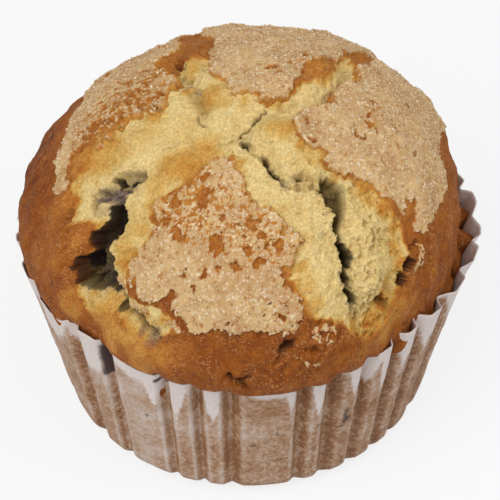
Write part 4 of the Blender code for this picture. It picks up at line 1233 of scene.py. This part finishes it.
paperFinish = {
    # dry, white paper under the rim: azimuth, half width, how far down it reaches, how square it is
    "dry": (
        (190, 14, 4.5, 3), (208, 9, 5.5, 3), (219.5, 3.4, 9, 1.2), (226, 3.6, 8.5, 6), (238, 6, 2.0, 2),
        (244.5, 3, 7, 1.5), (250.8, 3.6, 9.5, 1.2), (261, 2.5, 9, 2.5), (276, 7.5, 2.6, 3), (282, 2, 7, 1),
        (289.8, 2.4, 8.5, 1.5), (300, 2.2, 7, 1.2), (304.5, 3.5, 7, 1), (309, 1.8, 10, 1.5), (316, 3, 9, 1),
        (325, 5.5, 9, 1), (340, 7, 8, 2), (352, 8, 9, 3), (2, 10, 9, 3), (18, 8, 7, 2),
    ),
    "rimRise": ((226, 9, 3.2), (318, 15, 2.6), (0, 30, 2.4), (184, 18, 1.5), (90, 60, 1.6), (270, 20, 0.5)),
    "berryStain": (230.2, 1.5, 28.2, 4.8),   # azimuth, half width, height, half height
    # dark specks: azimuth, height, radius
    "specks": (
        (298.6, 19.2, 0.45), (298.2, 18.2, 0.4), (298.8, 17.2, 0.5), (298.2, 16.4, 0.4), (297.4, 15.2, 0.3),
        (299.0, 16.6, 0.3), (290.4, 17.6, 0.3), (241.5, 18.0, 0.3), (272.0, 14.6, 0.28), (278.5, 17.4, 0.25),
        (325.0, 15.0, 0.35), (246.2, 28.6, 0.5), (247.8, 27.2, 0.4), (249.0, 26.6, 0.3), (330, 12.0, 0.3),
        (221, 22.0, 0.25), (208, 24.5, 0.25), (311, 9.5, 0.3), (60, 20, 0.4), (120, 14, 0.35), (150, 22, 0.3),
    ),
}


# Noise that closes round the case: the sum of two flat noises over height and over each side coordinate.
def roundNoise(azimuth, height, size, seed, layers=3):
    angle = np.radians(azimuth)
    across = layeredNoise(34 * np.cos(angle) + 50, height, size, seed, layers)
    return 0.7 * (across + layeredNoise(34 * np.sin(angle) + 90, height + 40, size, seed + 5, layers))


# How brown the paper is, from 0 dry to 1 brown: fat soaks it most in the valleys, where painted shade adds
# to the browning, and low down; none in the dry patches under the rim; and it is paler along the creases of
# the folds, a painted highlight.
def paperSoakAndShading(azimuth, height, rimTop):
    dryReach = np.zeros(np.shape(azimuth))
    patches = list(paperFinish["dry"])
    for k in range(17):
        patches.append((28 + 9 * k, 4.5 + 1.5 * math.sin(2.1 * k), 5.5 + 2.5 * math.sin(3.7 * k), 1.5))
    for place, half, reach, square in patches:
        away = np.abs((azimuth - place + 180) % 360 - 180) / half
        dryReach = np.maximum(dryReach, reach * np.clip(1 - away ** square, 0, 1))
    line = rimTop - 0.6 - dryReach + 0.7 * roundNoise(azimuth, height, 3.0, 210)
    line = line + 0.7 * roundNoise(azimuth, height, 1.1, 212, 2)
    wet = eased(line - height, -0.5, 0.9)
    fold = foldAt(azimuth)
    right = 0.12 * hump(azimuth, 310, 35)
    # The valleys brown partly as fat soaked where the paper meets the cake, partly as painted shade.
    level = 0.42 + 0.4 * (1 - fold) ** 0.7 + right + 0.14 * (1 - height / rimHeight)
    level = level - 0.16 * hump(azimuth, 240, 7)
    level = level + 0.16 * roundNoise(azimuth, height, 5.0, 220, 4)
    # Paler along the creases of the folds: a painted highlight.
    crease = np.abs(np.gradient(np.gradient(fold, axis=1), axis=1))
    level = level - 0.35 * np.clip(crease / (crease.max() * 0.5), 0, 1)
    return wet * np.clip(level, 0.05, 1)


# The case: pleated rows from the rim down the wall and round the corner to a flat base, doubled inside
# by the paper's thickness and joined along the rim.
def makePaperCase(material):
    azimuth = np.linspace(0, 360, paperCase["columns"], endpoint=False)[None]
    angle = np.radians(azimuth)
    rimTop = rimHeight + 0.35 * roundNoise(azimuth, 0 * azimuth, 3.0, 200)
    for place, width, rise in paperFinish["rimRise"]:
        rimTop = rimTop + rise * hump(azimuth, place, width)
    down = np.linspace(0, 1, paperCase["wallRows"])[:, None]
    corner = paperCase["cornerRadius"]
    height = rimTop + (corner - rimTop) * down
    wander = 0.55 * roundNoise(azimuth, height * 0.5, 9.0, 204, 2) * np.sin(np.pi * down)
    crinkle = 0.16 * roundNoise(azimuth, height, 4.5, 206) + 0.05 * roundNoise(azimuth, height, 1.2, 208, 2)
    outside = paperRadius(azimuth + wander, height) + crinkle * np.sin(np.pi * np.clip(down, 0.04, 0.9))
    rings = [np.stack([outside * np.cos(angle), outside * np.sin(angle), height], -1)]
    turn = (np.pi / 2 * np.arange(1, paperCase["cornerRows"] + 1) / paperCase["cornerRows"])[:, None]
    inward = corner * (1 - np.cos(turn)) + paperCase["cornerShrink"] * (turn / np.pi * 2) * foldAt(azimuth)
    low = outside[-1:] - inward
    lowHeight = corner * (1 - np.sin(turn)) + 0 * azimuth
    rings.append(np.stack([low * np.cos(angle), low * np.sin(angle), lowHeight], -1))
    for share in (0.85, 0.6, 0.3):
        flat = low[-1:] * share
        rings.append(np.stack([flat * np.cos(angle), flat * np.sin(angle), 0 * flat], -1))
    outer = np.concatenate(rings)
    count = outer.shape[1]
    slopeU = np.roll(outer, -1, 1) - np.roll(outer, 1, 1)
    slopeV = np.gradient(outer, axis=0)
    normal = np.cross(slopeU, slopeV)
    normal /= np.linalg.norm(normal, axis=2, keepdims=True)
    inner = outer - paperCase["thickness"] * normal * np.sign((normal[0, 0] * outer[0, 0]).sum())
    rows = len(outer)
    points = np.concatenate([outer[::-1], inner]).reshape(-1, 3)
    faces = gridFaces(2 * rows, count, closed=True).tolist()
    first, last = np.arange(count), (2 * rows - 1) * count + np.arange(count)
    points = np.concatenate([points, [[0, 0, 0], [0, 0, paperCase["thickness"]]]])
    total = 2 * rows * count
    faces += np.stack([first, np.full(count, total), np.roll(first, -1)], 1).tolist()
    faces += np.stack([last, np.roll(last, -1), np.full(count, total + 1)], 1).tolist()
    around = azimuth + 0 * outer[..., 2]
    soak = paperSoakAndShading(around, outer[..., 2], rimTop)
    place, half, middle, reach = paperFinish["berryStain"]
    ragged = 0.25 * roundNoise(around, outer[..., 2], 1.6, 230)
    berry = eased(1 - np.abs(around - place) / half + ragged, 0, 0.5)
    berry = berry * eased(1 - np.abs(outer[..., 2] - middle) / reach + ragged, 0, 0.25)
    specks = np.zeros(around.shape)
    for place, speckHeight, radius in paperFinish["specks"]:
        away = np.hypot((around - place) * 0.58, outer[..., 2] - speckHeight)
        specks = np.maximum(specks, eased(radius - away, -0.15, 0.1))
    fold = foldAt(around)

    def both(values):
        return np.concatenate([values[::-1].ravel(), values.ravel(), [0.8, 0.8]])

    return meshObject("paperCase", points, faces, material, soak=both(soak), berry=both(berry),
                      specks=both(specks), fold=both(fold))


# Greased paper: dry white, or browned where it soaked up fat and, in the valleys, by painted shade, with a
# painted highlight along the creases, between pale matted fibres.
def paperMaterial():
    material, tree, shader = newMaterial("greasedPaper", 0.55, 0.4)
    felt = useGroup(tree, mottle, Size=0.75, Low=0.38, High=0.62, Distortion=0.9)
    blotch = useGroup(tree, mottle, Size=5.5, Low=0.3, High=0.7, Distortion=0.6)
    fine = useGroup(tree, mottle, Size=0.5, Low=0.3, High=0.7, Distortion=0.8)
    # The paper's browning: fat soaking, with painted shade in the valleys and a painted highlight on the
    # creases.
    soak = readAttribute(tree, "soak")
    fibres = maths(tree, "ADD", maths(tree, "MULTIPLY", felt.outputs[0], 0.42),
                   maths(tree, "MULTIPLY", blotch.outputs[0], 0.16))
    fibres = maths(tree, "SUBTRACT", fibres, 0.28)
    worn = maths(tree, "MULTIPLY", fibres, maths(tree, "MULTIPLY", soak, 1.5))
    level = maths(tree, "SUBTRACT", soak, worn)
    colour = colourRamp(tree, level, (
        (0.0, (0.690, 0.610, 0.580)), (0.12, (0.590, 0.490, 0.440)), (0.32, (0.490, 0.350, 0.265)),
        (0.55, (0.365, 0.200, 0.102)), (0.78, (0.260, 0.112, 0.036)), (1.0, (0.190, 0.070, 0.018)),
    ))
    shade = maths(tree, "MULTIPLY_ADD", fine.outputs[0], 0.14)
    shade.node.inputs[2].default_value = 0.93
    colour = mixColour(tree, 1.0, colour, shade, "MULTIPLY")
    juice = maths(tree, "MULTIPLY", readAttribute(tree, "berry"), 0.95)
    colour = mixColour(tree, juice, colour, (0.024, 0.007, 0.012))
    colour = mixColour(tree, readAttribute(tree, "specks"), colour, (0.045, 0.022, 0.018))
    tree.links.new(colour, shader.inputs["Base Color"])
    gloss = addNode(tree, "ShaderNodeMapRange", None, Value=level, To_Min=0.62, To_Max=0.42)
    tree.links.new(gloss.outputs[0], shader.inputs["Roughness"])
    height = maths(tree, "ADD", maths(tree, "MULTIPLY", felt.outputs[0], 0.6),
                   maths(tree, "MULTIPLY", fine.outputs[0], 0.4))
    addBump(tree, shader, height, 0.35, 0.1)
    return material


studio = {
    "target": (0.66, 0.0, 25.67), "elevation": 45.5, "azimuth": 0.15, "distance": 350.0,
    "lens": 153.7, "sensor": 36.0,
    "world": 0.42,
    "lamps": (                     # place, size and power
        ((-260, -330, 560), 420, 2.6),
        ((330, -120, 420), 380, 0.8),
    ),
}


def makeStudio():
    camera = bpy.data.cameras.new("camera")
    camera.lens, camera.sensor_width = studio["lens"], studio["sensor"]
    camera.clip_start, camera.clip_end = 0.01, 10
    holder = bpy.data.objects.new("camera", camera)
    elevation, azimuth = math.radians(studio["elevation"]), math.radians(studio["azimuth"])
    back = Vector((-math.sin(azimuth) * math.cos(elevation), -math.cos(azimuth) * math.cos(elevation),
                   math.sin(elevation)))
    holder.location = (Vector(studio["target"]) + back * studio["distance"]) * mm
    holder.rotation_euler = (-back).to_track_quat("-Z", "Y").to_euler()
    bpy.context.scene.collection.objects.link(holder)
    bpy.context.scene.camera = holder
    for place, size, power in studio["lamps"]:
        lamp = bpy.data.lights.new("softbox", "AREA")
        lamp.size, lamp.energy = size * mm, power
        box = bpy.data.objects.new("softbox", lamp)
        box.location = Vector(place) * mm
        box.rotation_euler = (Vector((0, 0, 30)) - Vector(place)).to_track_quat("-Z", "Y").to_euler()
        bpy.context.scene.collection.objects.link(box)
    world = bpy.data.worlds.new("world")
    world.use_nodes = True
    tree = world.node_tree
    rays = addNode(tree, "ShaderNodeLightPath")
    seen = maths(tree, "MAXIMUM", rays.outputs["Is Glossy Ray"], rays.outputs["Is Transmission Ray"])
    seen = maths(tree, "MAXIMUM", rays.outputs["Is Camera Ray"], seen)
    strength = addNode(tree, "ShaderNodeMapRange", None, Value=seen, To_Min=studio["world"], To_Max=1.0)
    tree.links.new(strength.outputs[0], tree.nodes["Background"].inputs["Strength"])
    tree.nodes["Background"].inputs["Color"].default_value = (1, 1, 1, 1)
    bpy.context.scene.world = world
    bpy.context.scene.view_settings.view_transform = "Standard"
    makeFloor()
    print("studio ready")


# A wide pale floor. To the camera it is lifted towards white, and it keeps the shadow.
def makeFloor():
    material, tree, shader = newMaterial("floorPaper", 0.9, 0.1)
    shader.inputs["Base Color"].default_value = (0.8, 0.8, 0.8, 1)
    glow = addNode(tree, "ShaderNodeEmission", None, Color=(1.0, 1.0, 1.0), Strength=1.0)
    rays = addNode(tree, "ShaderNodeLightPath")
    share = maths(tree, "MULTIPLY", rays.outputs["Is Camera Ray"], 0.8)
    blend = addNode(tree, "ShaderNodeMixShader", None, _0=share, _1=shader.outputs[0], _2=glow.outputs[0])
    tree.links.new(blend.outputs[0], tree.nodes["Material Output"].inputs["Surface"])
    side = np.array([-4000.0, 4000.0])
    x, y = np.meshgrid(side, side)
    meshObject("floor", np.stack([x, y, 0 * x], -1), gridFaces(2, 2).tolist(), material)


makeStudio()
baked = bakedCakeMaterial()
finishPiece(makeCake(baked), "cake", "cake")
finishPiece(makeCrumb("crumbLeft", True, baked), "cake")
finishPiece(makeCrumb("crumbRight", False, baked), "cake")
for plateName, plateShape in plates.items():
    finishPiece(makePlate(plateName, plateShape, baked), "cake")
finishPiece(makeSugarGrains(sugarGrainMaterial()), "cake")
finishPiece(makeCrumbBits(baked), "cake")
berrySkin = berryMaterial()
for berryName in ("berry_upper", "berry_lower", "berry_side"):
    finishPiece(makeBerry(berryName, berrySkin), "berry", berryName)
finishPiece(makePaperCase(paperMaterial()), "paper", "paper_case")
